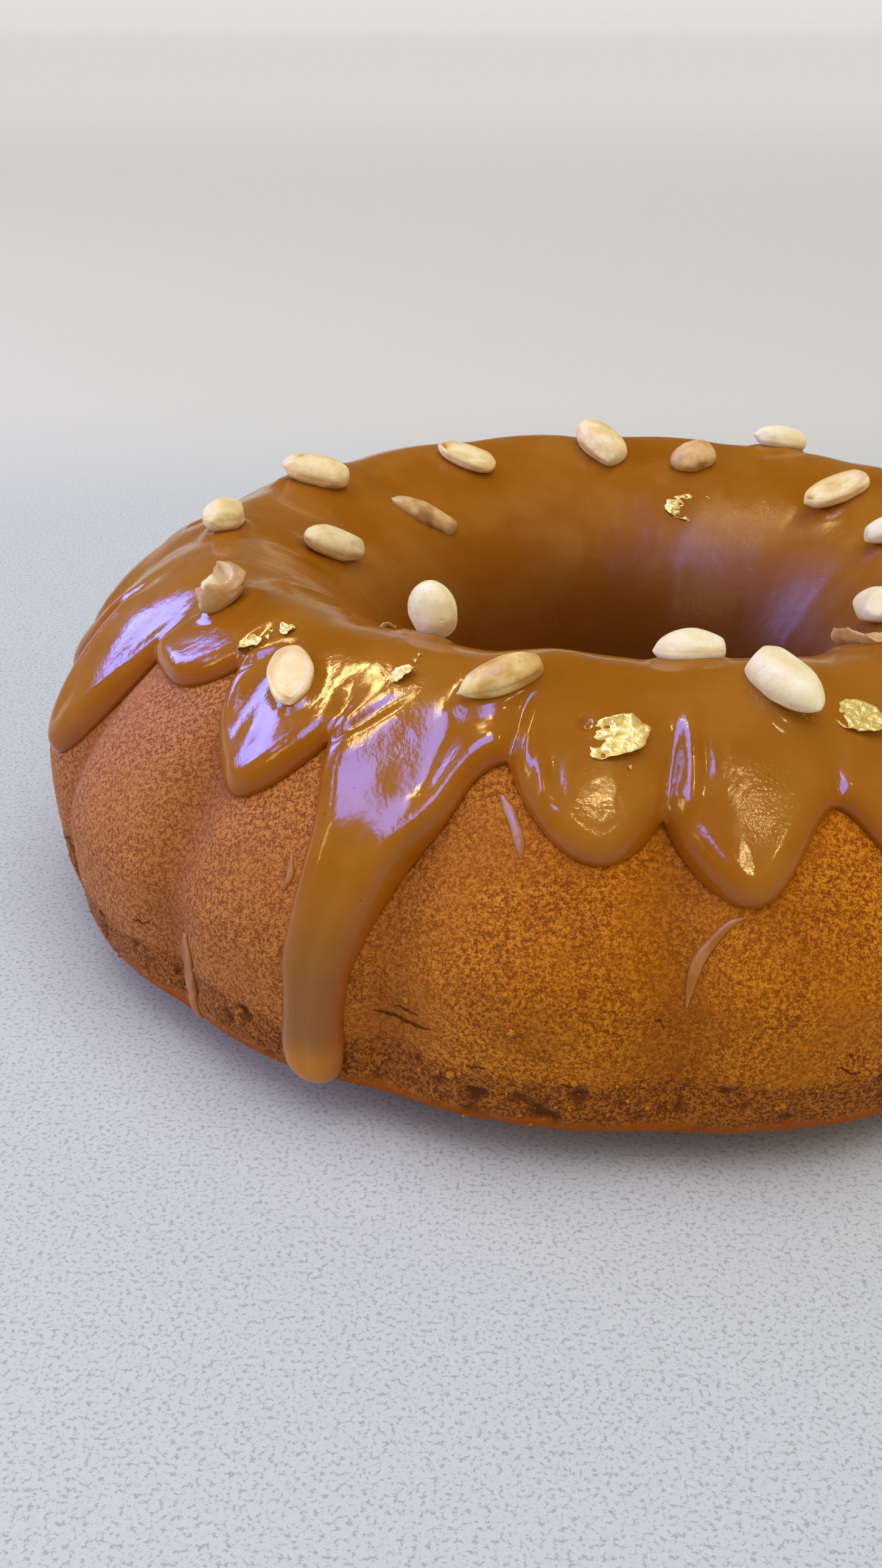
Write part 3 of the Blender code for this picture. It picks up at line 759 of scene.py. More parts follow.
@dataclass
class Crust:
    """The baked ring: its fluted wall with a crumbly band, the domed underside and the foot."""

    wall: RingWall
    rest_outer: float = 96.0 * MM
    rest_inner: float = 72.0 * MM
    front_from: float = -100.0
    front_to: float = 52.0
    front_step: float = 0.38
    back_step: float = 0.56
    shown_girth: float = 66.0 * MM
    shown_step: float = 0.88 * MM
    crest_girth: float = 92.0 * MM
    hole_girth: float = 160.0 * MM
    band_middle: float = 16.5 * MM
    band_half: float = 5.2 * MM
    band_wander: float = 2.2 * MM
    grain_height: float = 0.10 * MM
    crumb_height: float = 0.42 * MM
    band_sink: float = 0.1 * MM
    hollow_depth: float = 0.75 * MM
    # height below which the outer wall is painted with shade
    under_height: float = 13.2 * MM
    seed: int = 40

    def columns(self) -> Array:
        """Azimuths of the mesh's columns, closer together where the cake is seen near by."""
        front = np.arange(self.front_from, self.front_to, self.front_step)
        back = np.arange(self.front_to, self.front_from + 360.0 - 0.5 * self.back_step,
                         self.back_step)
        return np.concatenate([front, back])

    def band(self, points: Array) -> Array:
        """How much a place belongs to the rough band near the base, with a ragged border.

        It is a smooth plateau of the height, whose middle wanders with coarse noise.
        """
        shift = self.band_wander * rough_noise(points, 16.0 * MM, 3, self.seed)
        width = self.band_half * (1.0 + 0.25 * rough_noise(points, 30.0 * MM, 2, self.seed + 9))
        away = np.abs(points[..., 2] - self.band_middle - shift) / width
        return 1.0 - smooth_step(0.62, 1.15, away)

    def tone(self, points: Array) -> Array:
        """Slow lighter and darker patches: coarse noise around zero."""
        return 1.6 * rough_noise(points, 34.0 * MM, 4, self.seed + 8, 0.6)

    def relief(self, azimuth: Array, girth: Array) -> tuple[Array, dict[str, Array]]:
        """Height of the crust over the bare wall, and the masks that its finish reads.

        The height sums the slow unevenness, a fine grain, and in the band coarse crumb whose
        deepest places become hollows.
        """
        bare = self.wall.place(azimuth, girth, 0.0)
        outside = girth < self.wall.crest_girth
        band = self.band(bare) * outside
        crumb = rough_noise(bare, 2.6 * MM, 3, self.seed + 2, 0.6)
        deep = smooth_step(0.22, 0.5, rough_noise(bare, 3.4 * MM, 2, self.seed + 4, 0.6))
        # the hollows are sunk into the crust, and the finish also darkens them with painted shade
        hollow = deep * band
        grain = rough_noise(bare, 3.2 * MM, 2, self.seed + 6)
        lift = (self.wall.unevenness(azimuth, girth) + self.grain_height * grain
                + band * (self.crumb_height * crumb - self.band_sink) - self.hollow_depth * hollow)
        # mask for painted shade at the bottom of the grooves on the outer wall
        crease = np.broadcast_to(self.wall.crease(azimuth) * outside, band.shape)
        return lift, {"band": band, "hollow": hollow, "tone": self.tone(bare), "crease": crease}

    def build(self, finish: Material) -> Piece:
        """Makes the closed ring on one grid: girth rows over the wall, then rows underneath."""
        azimuth = self.columns()
        shown = np.arange(0.0, self.shown_girth, self.shown_step)
        crest = np.linspace(self.shown_girth, self.crest_girth, 7)[:-1]
        hole = np.linspace(self.crest_girth, self.hole_girth, 14)[:-1]
        foot = np.linspace(self.hole_girth, self.wall.full_girth, 12)
        girth = np.concatenate([shown, crest, hole, foot])[:, None]
        lift, masks = self.relief(azimuth[None, :], girth)
        upper = self.wall.place(azimuth[None, :], girth, lift)
        under, under_masks = self.underside(azimuth, upper[-1], upper[0])
        points = np.concatenate([upper, under])
        # painted shade along the foot of the outer wall, below a ragged height
        ragged = upper[..., 2] + 1.2 * MM * rough_noise(upper, 5.0 * MM, 3, self.seed + 13)
        masks["under"] = (smooth_step(self.under_height, self.under_height - 1.8 * MM, ragged)
                          * (girth < self.wall.crest_girth))
        values = {name: np.concatenate([masks[name], under_masks[name]]) for name in masks}
        triangles = grid_triangles(len(points), len(azimuth), True, True)
        piece = make_piece("crust", points.reshape(-1, 3), triangles, finish, values)
        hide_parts("cake")
        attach(piece, BODY)
        return piece

    def underside(self, azimuth: Array, foot: Array,
                  edge: Array) -> tuple[Array, dict[str, Array]]:
        """Rows from the foot over the flat resting ring and the domed base to the outer edge.

        Args:
            azimuth: The columns.
            foot: Last row of the wall.
            edge: First row of the wall.

        Returns:
            The rows of points, and their masks.
        """
        angle = np.radians(azimuth)
        circle = np.stack([np.sin(angle), -np.cos(angle), np.zeros_like(angle)], -1)
        inner, outer = self.rest_inner * circle, self.rest_outer * circle
        rows = [foot + (inner - foot) * share for share in (0.25, 0.5, 0.75)]
        rows += [inner, 0.5 * (inner + outer), outer]
        for share in np.linspace(0.0, 1.0, 14)[1:-1]:
            row = outer + (edge - outer) * share
            row[:, 2] = edge[:, 2] * (0.55 * share + 0.45 * share ** 2.2)
            rough = rough_noise(row, 3.0 * MM, 3, self.seed + 11)
            row[:, 2] += 0.3 * MM * rough * np.sin(math.pi * share) ** 0.5
            rows.append(row)
        rows = np.array(rows)
        blank = np.zeros(rows.shape[:2])
        # the underside is painted fully with the same shade
        return rows, {"band": blank, "hollow": blank, "tone": self.tone(rows), "crease": blank,
                      "under": np.ones_like(blank)}


@dataclass
class Crumbs:
    """Loose crumbs that stick to the crust: many small ones in the rough band, a few large ones."""

    wall: RingWall
    crust: Crust
    count: int = 420
    seed: int = 61
    # azimuth, girth in mm, size in mm
    large: tuple[tuple[float, float, float], ...] = (
        (-13.5, 29.2, 1.5), (-12.9, 22.4, 1.9), (-12.4, 21.2, 1.4), (13.0, 29.2, 1.4),
        (-17.7, 11.0, 1.6), (-3.0, 11.8, 1.5), (-20.4, 9.4, 1.2), (-8.2, 13.2, 1.3),
        (-38.0, 12.5, 1.2), (7.5, 8.6, 1.3),
    )

    def lump(self) -> tuple[Array, Array]:
        """Points and faces of an icosahedron of radius 1: three golden rectangles' corners."""
        golden = 0.5 * (1.0 + math.sqrt(5.0))
        base = [(a, b * golden, 0.0) for a in (-1.0, 1.0) for b in (-1.0, 1.0)]
        corners = np.array([[np.roll(point, turn) for point in base] for turn in range(3)])
        corners = corners.reshape(-1, 3) / math.hypot(1.0, golden)
        near = np.linalg.norm(corners[:, None] - corners[None], axis=-1) < 1.1
        faces = np.array([(i, j, k) for i in range(12) for j in range(i + 1, 12)
                          for k in range(j + 1, 12) if near[i, j] and near[j, k] and near[i, k]])
        a, b, c = (corners[faces[:, k]] for k in range(3))
        inwards = np.einsum("ij,ij->i", np.cross(b - a, c - a), a) < 0.0
        faces[inwards] = faces[inwards][:, ::-1]
        return corners, faces

    def build(self, finish: Material) -> Piece:
        """Scatters the crumbs by a seeded draw, each an uneven lump half sunk in the crust."""
        draw = np.random.RandomState(self.seed)
        corners, faces = self.lump()
        azimuth = np.concatenate([draw.uniform(-180.0, 180.0, self.count),
                                  [row[0] for row in self.large]])
        girth = np.concatenate([draw.normal(8.5, 4.5, self.count).clip(0.8, 30.0),
                                [row[1] for row in self.large]]) * MM
        size = np.concatenate([0.22 + 0.42 * draw.uniform(0.0, 1.0, self.count) ** 2.5,
                               [0.5 * row[2] for row in self.large]]) * MM
        lift, _ = self.crust.relief(azimuth, girth)
        middle = self.wall.place(azimuth, girth, lift + 0.15 * size)
        stretch = draw.uniform(0.6, 1.25, (len(size), 1, 3))
        bumps = draw.uniform(0.75, 1.2, (len(size), 12, 1))
        turn = np.linalg.qr(draw.normal(size=(len(size), 3, 3)))[0]
        turn *= np.sign(np.linalg.det(turn))[:, None, None]
        shapes = corners[None] * bumps * stretch
        shapes = np.einsum("nij,nkj->nki", turn, shapes) * size[:, None, None]
        points = (shapes + middle[:, None]).reshape(-1, 3)
        triangles = (faces[None] + 12 * np.arange(len(size))[:, None, None]).reshape(-1, 3)
        masks = dict.fromkeys(("band", "hollow", "under", "crease"), np.zeros(len(points)))
        masks["tone"] = np.repeat(draw.uniform(-0.3, 1.3, len(size)), 12)
        piece = make_piece("crumbs", points, triangles, finish, masks)
        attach(piece, BODY)
        return piece


# ------------------------------------------------------------------ glaze

@dataclass
class LongDrip:
    """One long drip.

    The azimuth is its tongue's, and aside is how far its tip strays from it, in degrees; heights,
    the neck's half width and the bulb's widening are in mm. The half width grows by the share
    widening to its top, and a dull drip has dried below its neck.
    """

    azimuth: float
    tip_height: float
    aside: float
    half_width: float
    top_height: float = 62.0
    widening: float = 1.15
    widening_power: float = 2.4
    straying_power: float = 1.3
    bulb_widening: float = 0.45
    dull: bool = False


@dataclass
class Stroke:
    """One straight crease or ridge in the glaze, from one place to another on the wall.

    Places are azimuth in degrees and girth in mm; width and height in mm, and a negative height is
    a crease. The stroke is a bell curve across, and fades towards its end.
    """

    start: tuple[float, float]
    end: tuple[float, float]
    width: float
    height: float


@dataclass
class GlazeOutline:
    """Where the glaze ends: its lower edge of tongues, its long drips and its edge in the hole."""

    wall: RingWall
    # azimuth and height in mm of each tip, then of the notch after it, then how hollow the edge is
    # before and after the tip
    tongues: tuple[tuple[float, ...], ...] = (
        (-73.5, 40.5, -66.5, 64.8, 0.2, 0.3), (-58.0, 64.0, -51.2, 69.9, 0.1, 0.0),
        (-41.5, 55.4, -34.0, 65.4, 0.0, 0.1), (-26.5, 54.0, -16.0, 66.8, 0.1, 1.0),
        (-7.3, 56.1, -2.0, 62.6, 0.1, 0.0), (4.8, 51.0, 13.0, 62.3, 0.1, 0.9),
        (19.0, 53.0, 26.5, 63.5, 0.9, 0.3),
    )
    tongues_round_back: int = 16
    tip_heights: tuple[float, float] = (42.0, 62.0)
    notch_heights: tuple[float, float] = (60.0, 68.5)
    tongue_seed: int = 7
    drips: tuple[LongDrip, ...] = (
        LongDrip(-26.5, 11.0, -3.1, 5.3, dull=True),
        LongDrip(63.0, 22.0, 2.0, 4.5),
        LongDrip(143.0, 15.0, -2.5, 5.0),
        LongDrip(-128.0, 24.0, 2.5, 4.7),
    )
    hole_hem: float = 19.0
    hole_swing: float = 4.0
    corner_softness: float = 5.0 * MM
    tip_overrun: float = 0.8 * MM
    discs: int = 90
    # how many columns to each side the distance to the lower edge and to the hole's edge looks
    edge_window: int = 34
    hole_window: int = 30

    def tongue_keys(self) -> list[tuple[float, float]]:
        """Azimuths and heights of all tips and notches, in rising order, the drawn ones last."""
        keys = []
        for tip_azimuth, tip_height, notch_azimuth, notch_height, _, _ in self.tongues:
            keys += [(tip_azimuth, tip_height), (notch_azimuth, notch_height)]
        draw = np.random.RandomState(self.tongue_seed)
        start, end = self.tongues[-1][2], self.tongues[0][0] - 8.0 + 360.0
        widths = draw.uniform(0.75, 1.3, self.tongues_round_back)
        notches = start + np.cumsum(widths) / widths.sum() * (end - start)
        previous = start
        for notch in notches:
            tip = previous + (notch - previous) * draw.uniform(0.4, 0.6)
            keys += [(tip, draw.uniform(*self.tip_heights)),
                     (notch, draw.uniform(*self.notch_heights))]
            previous = notch
        return keys

    def outer_edge(self, azimuth: Array) -> Array:
        """Girth of the lower edge at each azimuth, without the long drips.

        Between a notch and a tip its height follows a quarter sine, so that tips are round and
        notches pointed, or a half cosine, which makes the notch round too, or a mean of the two.
        """
        keys = np.array(self.tongue_keys())
        is_tip = np.arange(len(keys)) % 2 == 0
        shifted = (azimuth - keys[0, 0]) % 360.0 + keys[0, 0]
        following = np.searchsorted(keys[:, 0], shifted, side="right") % len(keys)
        before = (following - 1) % len(keys)
        span = (keys[following, 0] - keys[before, 0]) % 360.0
        share = ((shifted - keys[before, 0]) % 360.0) / span
        from_notch = np.where(is_tip[before], 1.0 - share, share)
        notch = np.where(is_tip[before], keys[following, 1], keys[before, 1])
        tip = np.where(is_tip[before], keys[before, 1], keys[following, 1])
        draw = np.random.RandomState(self.tongue_seed + 1)
        known = [hollow for tongue in self.tongues for hollow in tongue[4:]]
        sides = np.concatenate([known, draw.uniform(0.0, 0.9, 2 * self.tongues_round_back)])
        hollow = sides[np.where(is_tip[before], before + 1, following)]
        full = np.sin(from_notch * math.pi / 2) ** 0.85
        share = full + (0.5 - 0.5 * np.cos(from_notch * math.pi) - full) * hollow
        return self.wall.outer_girth((notch + (tip - notch) * share) * MM)

    def hole_edge(self, azimuth: Array) -> Array:
        """Girth at which the glaze ends in the hole: two waves round the ring."""
        angle = np.radians(azimuth)
        swing = np.sin(angle * 9.0) + 0.6 * np.sin(angle * 14.0 + 1.0)
        return self.wall.hole_girth((self.hole_hem + self.hole_swing * swing) * MM)

    def distance_to(self, azimuth: Array, girth: Array, edge: Array, window: int) -> Array:
        """Distance of each grid place to an edge that is given as a girth for each column.

        The wall is unrolled round each place, and the place is measured to each straight piece of
        the edge within a window of columns; the smallest distance is kept.
        """
        degree = self.wall.degree(girth)[:, None]
        best = np.full((len(girth), len(azimuth)), 1.0)
        for offset in range(-window, window):
            (ax, ay), (bx, by) = (
                (wrap(np.roll(azimuth, -shift) - azimuth)[None, :] * degree,
                 np.roll(edge, -shift)[None, :] - girth[:, None])
                for shift in (offset, offset + 1))
            dx, dy = bx - ax, by - ay
            share = np.clip(-(ax * dx + ay * dy) / (dx * dx + dy * dy + 1e-18), 0.0, 1.0)
            best = np.minimum(best, np.hypot(ax + share * dx, ay + share * dy))
        return best

    def nearest_tip(self, azimuth: float) -> float:
        """Azimuth of the tongue whose tip lies nearest."""
        tips = np.array([key[0] for key in self.tongue_keys()[::2]])
        return float(tips[np.abs(wrap(tips - azimuth)).argmin()])

    def drip_path(self, drip: LongDrip) -> tuple[Array, Array, Array]:
        """Middle line and half width of a long drip, as discs from its tip to its tongue.

        The half width grows with a power of the way up, the middle strays aside with another, and
        a bell curve widens the bulb.
        """
        low = float(self.wall.outer_girth(drip.tip_height * MM)) - self.tip_overrun
        high = float(self.wall.outer_girth(drip.top_height * MM))
        share = np.linspace(0.0, 1.0, self.discs)
        width = drip.half_width * (1.0 + drip.widening * share ** drip.widening_power)
        width = width + drip.bulb_widening * bell(share - 0.06, 0.07)
        start = low + width[0] * MM
        girth = start + (high - start) * share
        middle = self.nearest_tip(drip.azimuth) + drip.aside * (1.0 - share ** drip.straying_power)
        return middle, girth, width * MM

    def depth_inside(self, azimuth: Array, girth: Array) -> tuple[Array, list[Array]]:
        """How far each grid place lies inside the glaze's outline, negative outside.

        The tongues' depth is the distance to the lower edge, a drip's is the largest of its discs'
        depths, and the two are joined by a smooth maximum, which rounds the corner between them.
        The hole's edge cuts the result by a minimum.
        """
        edge = self.outer_edge(azimuth)
        depth = self.distance_to(azimuth, girth, edge, self.edge_window)
        depth = np.where(girth[:, None] > edge[None, :], depth, -depth)
        degree = self.wall.degree(girth)[:, None]
        drips = []
        for drip in self.drips:
            own = np.full(depth.shape, -1.0)
            for middle, height, width in zip(*self.drip_path(drip)):
                away = np.hypot(wrap(azimuth - middle)[None, :] * degree, girth[:, None] - height)
                own = np.maximum(own, width - away)
            drips.append(own)
            near = np.clip(1.0 - np.abs(depth - own) / self.corner_softness, 0.0, 1.0)
            depth = np.maximum(depth, own) + 0.25 * self.corner_softness * near ** 2
        last = self.hole_edge(azimuth)
        below = self.distance_to(azimuth, girth, last, self.hole_window)
        below = np.where(girth[:, None] < last[None, :], below, -below)
        return np.minimum(depth, below), drips


@dataclass
class GlazeRelief:
    """How thick the glaze is: film, bead at the edge, creases, mounds, collars and a bubble."""

    wall: RingWall
    outline: GlazeOutline
    peanuts: Sequence["Peanut"]
    strokes: tuple[Stroke, ...] = (
        Stroke((-15.9, 64.5), (-15.4, 82.0), 0.9, -0.8),
        Stroke((-14.3, 62.0), (-14.5, 80.0), 0.8, 0.55),
        Stroke((-12.4, 60.0), (-13.2, 72.0), 0.9, 0.5),
        Stroke((-10.6, 60.5), (-12.6, 70.0), 0.9, -0.35),
        Stroke((-2.0, 57.5), (-0.6, 80.0), 1.0, -0.8),
        Stroke((0.3, 61.0), (1.4, 84.0), 1.1, 0.55),
        Stroke((1.9, 66.0), (2.2, 84.0), 0.9, -0.35),
        Stroke((-33.4, 63.5), (-27.0, 80.0), 1.3, -0.6),
        Stroke((-30.6, 62.0), (-26.5, 80.0), 2.4, 0.35),
        Stroke((-23.0, 60.0), (-21.5, 82.0), 2.2, -0.35),
        Stroke((-51.0, 69.0), (-45.0, 82.0), 1.2, -0.6),
        Stroke((-40.5, 58.0), (-42.5, 76.0), 1.9, -0.3),
        Stroke((12.8, 57.5), (14.6, 76.0), 1.0, -0.7),
    )
    # azimuth, girth, height and the reach round and along, in mm, of broad swellings
    mounds: tuple[tuple[float, float, float, float, float], ...] = (
        (-23.5, 51.0, 1.9, 9.0, 10.0), (-14.0, 88.0, 1.2, 6.0, 6.0), (-41.0, 62.0, 0.7, 7.0, 7.0),
    )
    bead_reach: float = 4.4 * MM
    bead_height: float = 3.35 * MM
    bead_relax: float = 3.6 * MM
    meniscus: float = 0.75 * MM
    meniscus_width: float = 1.3 * MM
    slow_height: float = 0.42 * MM
    fine_height: float = 0.025 * MM
    notch_crease: float = 0.75 * MM
    notch_crease_length: float = 17.0 * MM
    # azimuth and girth of the burst bubble, its depth and half width, then its rim's height,
    # distance and half width
    bubble_azimuth: float = -9.5
    bubble_girth: float = 74.2 * MM
    bubble_depth: float = 1.1 * MM
    bubble_width: float = 1.0 * MM
    bubble_rim: float = 0.25 * MM
    bubble_rim_away: float = 1.7 * MM
    bubble_rim_width: float = 0.7 * MM

    def thickness(self, azimuth: Array, girth: Array, depth: Array) -> Array:
        """Thickness of the glaze at each place.

        A quarter of a superellipse rises from the outline to the bead, and past it the bead relaxes
        to the film. Strokes, the peanuts' collars, a burst bubble and swellings are added, most of
        the grooves under the glaze are filled, and all of that fades out towards the outline.
        """
        inside = np.clip(depth, 0.0, None)
        rise = np.sqrt(1.0 - (1.0 - np.clip(inside / self.bead_reach, 0.0, 1.0)) ** 2.2)
        past = np.clip(inside - self.bead_reach, 0.0, None) / self.bead_relax
        film = self.wall.film(girth)
        full = film + (self.bead_height - film) * np.exp(-past)
        extra = self.collars(azimuth, girth) + self.creases(azimuth, girth)
        place = self.wall.place(azimuth, girth, 0.0)
        levelled = 0.2 + 0.65 * smooth_step(self.wall.crest_girth, 120.0 * MM, girth)
        extra = extra + levelled * (self.wall.groove(azimuth, girth) - 0.5 * MM)
        extra = extra + self.slow_height * rough_noise(place, 17.0 * MM, 2, 71)
        extra = extra + self.fine_height * rough_noise(place * [1.0, 1.0, 0.6], 3.6 * MM, 2, 73)
        return full * rise + extra * smooth_step(0.0, 3.0 * MM, inside)

    def creases(self, azimuth: Array, girth: Array) -> Array:
        """Sum of the strokes, of a crease that runs up from every notch, and of the mounds."""
        total = np.zeros(np.broadcast_shapes(azimuth.shape, girth.shape))
        degree = self.wall.degree(girth)
        for stroke in self.strokes:
            rise = (girth / MM - stroke.start[1]) / (stroke.end[1] - stroke.start[1])
            share = np.clip(rise, 0.0, 1.0)
            line = stroke.start[0] + (stroke.end[0] - stroke.start[0]) * share
            width = stroke.width * MM * (1.0 + 0.8 * share)
            ends = smooth_step(-0.12, 0.08, rise) * (1.0 - smooth_step(0.45, 1.1, rise))
            total += stroke.height * MM * ends * bell(wrap(azimuth - line) * degree, width)
        for notch_azimuth, notch_height in self.outline.tongue_keys()[1::2]:
            low = self.wall.outer_girth(notch_height * MM)
            rise = (girth - low) / self.notch_crease_length
            width = (1.0 + 2.6 * np.clip(rise, 0.0, 1.0)) * MM
            ends = smooth_step(-0.15, 0.05, rise) * (1.0 - smooth_step(0.25, 1.0, rise))
            total -= self.notch_crease * ends * bell(wrap(azimuth - notch_azimuth) * degree, width)
        for middle, height, rise, round_reach, along_reach in self.mounds:
            total += (rise * MM * bell(wrap(azimuth - middle) * degree, round_reach * MM)
                      * bell(girth - height * MM, along_reach * MM))
        return total

    def collars(self, azimuth: Array, girth: Array) -> Array:
        """Raised collars where the glaze clings to the peanuts, and the pit of one burst bubble.

        A collar is a bell curve of the distance to an ellipse that is a little smaller than the
        peanut is from above.
        """
        total = np.zeros(np.broadcast_shapes(azimuth.shape, girth.shape))
        degree = self.wall.degree(girth)
        for nut in self.peanuts:
            x = wrap(azimuth - nut.azimuth) * degree
            y = girth - nut.girth * MM
            turn, lean = math.radians(nut.turn), math.radians(nut.lean)
            along = x * math.cos(turn) + y * math.sin(turn)
            across = y * math.cos(turn) - x * math.sin(turn)
            half_long = 0.42 * math.hypot(nut.length * math.cos(lean),
                                          nut.height * math.sin(lean)) * MM
            half_wide = 0.42 * nut.width * MM
            away = (np.hypot(along / half_long, across / half_wide) - 1.0) * half_wide
            collar = self.meniscus * bell(np.clip(away, 0.0, None), self.meniscus_width)
            total = np.maximum(total, collar)
        away = np.hypot(wrap(azimuth - self.bubble_azimuth) * degree, girth - self.bubble_girth)
        return (total - self.bubble_depth * bell(away, self.bubble_width)
                + self.bubble_rim * bell(away - self.bubble_rim_away, self.bubble_rim_width))


@dataclass
class Glaze:
    """The poured glaze as one closed body, cut out of a grid along its outline."""

    wall: RingWall
    outline: GlazeOutline
    relief: GlazeRelief
    front_from: float = -84.0
    front_to: float = 34.0
    front_step: float = 0.78 * MM
    back_step: float = 1.52 * MM
    step_radius: float = 110.0 * MM
    first_row: float = -0.5 * MM
    row_step: float = 0.82 * MM
    past_crest: float = 6.0 * MM
    hole_step: float = 2.5 * MM
    last_height: float = 10.0 * MM
    hem_inset: float = 0.45 * MM
    rim_depths: tuple[float, ...] = (0.2 * MM, 0.04 * MM)
    root: float = 0.7 * MM
    rim_fade: float = 1.7 * MM
    # girths over a drip's tip: no longer dull above the first, fully below the second
    dull_ends: tuple[float, float] = (42.0 * MM, 26.0 * MM)
    bulb_ends: tuple[float, float] = (12.0 * MM, 5.0 * MM)
    # girths over which painted shade darkens the wall of the hole, and over which it loses its
    # gloss
    hole_shade_ends: tuple[float, float] = (106.0 * MM, 146.0 * MM)
    hole_ends: tuple[float, float] = (100.0 * MM, 116.0 * MM)

    def columns(self) -> Array:
        """Azimuths of the mesh's columns, closer together in front."""
        per_metre = math.degrees(1.0 / self.step_radius)
        front = np.arange(self.front_from, self.front_to, self.front_step * per_metre)
        count = round((self.front_from + 360.0 - self.front_to) / (self.back_step * per_metre))
        back = np.linspace(self.front_to, self.front_from + 360.0, count, endpoint=False)
        return np.concatenate([front, back])

    def rows(self) -> Array:
        """Girths of the mesh's rows, closer together on the outer wall than in the hole."""
        outer = np.arange(self.first_row, self.wall.crest_girth + self.past_crest, self.row_step)
        hole = np.arange(outer[-1] + self.hole_step, self.wall.hole_girth(self.last_height),
                         self.hole_step)
        return np.concatenate([outer, hole])

    def build(self, finish: Material) -> Piece:
        """Makes the closed glaze.

        Grid points near the outline are pulled onto it along the slope of the depth, faces wholly
        inside are kept, and two rims of points roll the edge under to a sheet inside the crust.
        """
        azimuth, girth = self.columns(), self.rows()
        depth, drips = self.outline.depth_inside(azimuth, girth)
        flat_azimuth, flat_girth, level, slope = self.snapped(azimuth, girth, depth)
        faces = self.inner_faces(level, len(girth), len(azimuth))
        used, faces = np.unique(faces, return_inverse=True)
        faces = faces.reshape(-1, 3)
        a, g, d, slope = flat_azimuth[used], flat_girth[used], level[used], slope[used]
        ground = self.wall.unevenness(a, g)
        top = self.wall.place(a, g, ground + self.relief.thickness(a, g, d + self.hem_inset))
        bottom = self.wall.place(a, g, ground - self.root)
        border = self.border_edges(faces)
        ring = np.unique(border)
        number = np.full(len(a), -1)
        number[ring] = np.arange(len(ring))
        sheets, levels, total = [top], [border.T], len(a)
        for depth_left in self.rim_depths:
            shift = d[ring] + self.hem_inset - depth_left
            a_rim = a[ring] - slope[ring, 0] * shift / self.wall.degree(g[ring])
            g_rim = g[ring] - slope[ring, 1] * shift
            left = np.full(len(ring), depth_left)
            lift = self.wall.unevenness(a_rim, g_rim) + self.relief.thickness(a_rim, g_rim, left)
            sheets.append(self.wall.place(a_rim, g_rim, lift))
            levels.append(total + number[border.T])
            total += len(ring)
        points = np.concatenate([*sheets, bottom])
        levels.append(total + border.T)
        walls = []
        for (i, j), (k, l) in zip(levels[:-1], levels[1:]):
            walls += [np.stack([j, i, k], -1), np.stack([j, k, l], -1)]
        triangles = np.concatenate([faces, *walls, total + faces[:, ::-1]])
        masks = self.masks(a, g, d + self.hem_inset, [own.ravel()[used] for own in drips])
        edge_masks = {name: np.concatenate([values, values[ring], values[ring], values])
                      for name, values in masks.items()}
        piece = make_piece("glaze_pour", points, triangles, finish, edge_masks)
        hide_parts("glaze")
        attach(piece, BODY)
        return piece

    def snapped(self, azimuth: Array, girth: Array,
                depth: Array) -> tuple[Array, Array, Array, Array]:
        """Pulls the grid's points near the outline onto it.

        Args:
            azimuth: The columns.
            girth: The rows.
            depth: Depth inside the outline at each grid point.

        Returns:
            Azimuth, girth and depth of each point, and the unit direction in which the depth grows,
            round the ring and along the girth.
        """
        degree = self.wall.degree(girth)[:, None]
        across = wrap(np.roll(azimuth, -1) - np.roll(azimuth, 1))[None, :] * degree
        slope_x = (np.roll(depth, -1, 1) - np.roll(depth, 1, 1)) / across
        slope_y = np.gradient(depth, girth, axis=0)
        steep = np.hypot(slope_x, slope_y)
        steep = np.where(steep < 0.2, 1.0, steep)
        level = depth - self.hem_inset
        near = self.way_to_outline(level) < 0.5
        move = np.where(near, -level / steep ** 2, 0.0)
        a = azimuth[None, :] + move * slope_x / degree
        g = girth[:, None] + move * slope_y
        level = np.where(near, 0.0, level)
        slope = np.stack([slope_x / steep, slope_y / steep], -1)
        return a.ravel(), g.ravel(), level.ravel(), slope.reshape(-1, 2)

    def way_to_outline(self, level: Array) -> Array:
        """Share of a grid edge from each point to the outline, along the nearest edge that crosses.

        An edge crosses the outline where the level changes its sign, at level / (level - next), and
        points with no such edge get infinity.
        """
        shares = [np.full_like(level, np.inf)]
        for axis, step in ((0, 1), (0, -1), (1, 1), (1, -1)):
            beside = np.roll(level, step, axis)
            crossed = level * beside < 0.0
            if axis == 0:
                crossed[0 if step == 1 else -1] = False
            shares.append(np.divide(level, level - beside, out=np.full_like(level, np.inf),
                                    where=crossed))
        return np.min(shares, axis=0)

    def inner_faces(self, level: Array, rows: int, columns: int) -> Array:
        """Triangles whose three points lie on or inside the outline.

        Each cell is cut along the diagonal that keeps more of it.
        """
        keep = (level >= 0.0).reshape(rows, columns)
        r, c = np.meshgrid(np.arange(rows - 1), np.arange(columns), indexing="ij")
        e = (c + 1) % columns
        corners = [r * columns + c, r * columns + e, (r + 1) * columns + e, (r + 1) * columns + c]
        kept = [keep[r, c], keep[r, e], keep[r + 1, e], keep[r + 1, c]]
        other = ~(kept[0] & kept[2]) & kept[1] & kept[3]
        faces = []
        for first, second, third, rule in ((0, 1, 2, ~other), (0, 2, 3, ~other),
                                           (0, 1, 3, other), (1, 2, 3, other)):
            good = kept[first] & kept[second] & kept[third] & rule
            faces.append(np.stack([corners[first][good], corners[second][good],
                                   corners[third][good]], -1))
        return np.concatenate(faces)

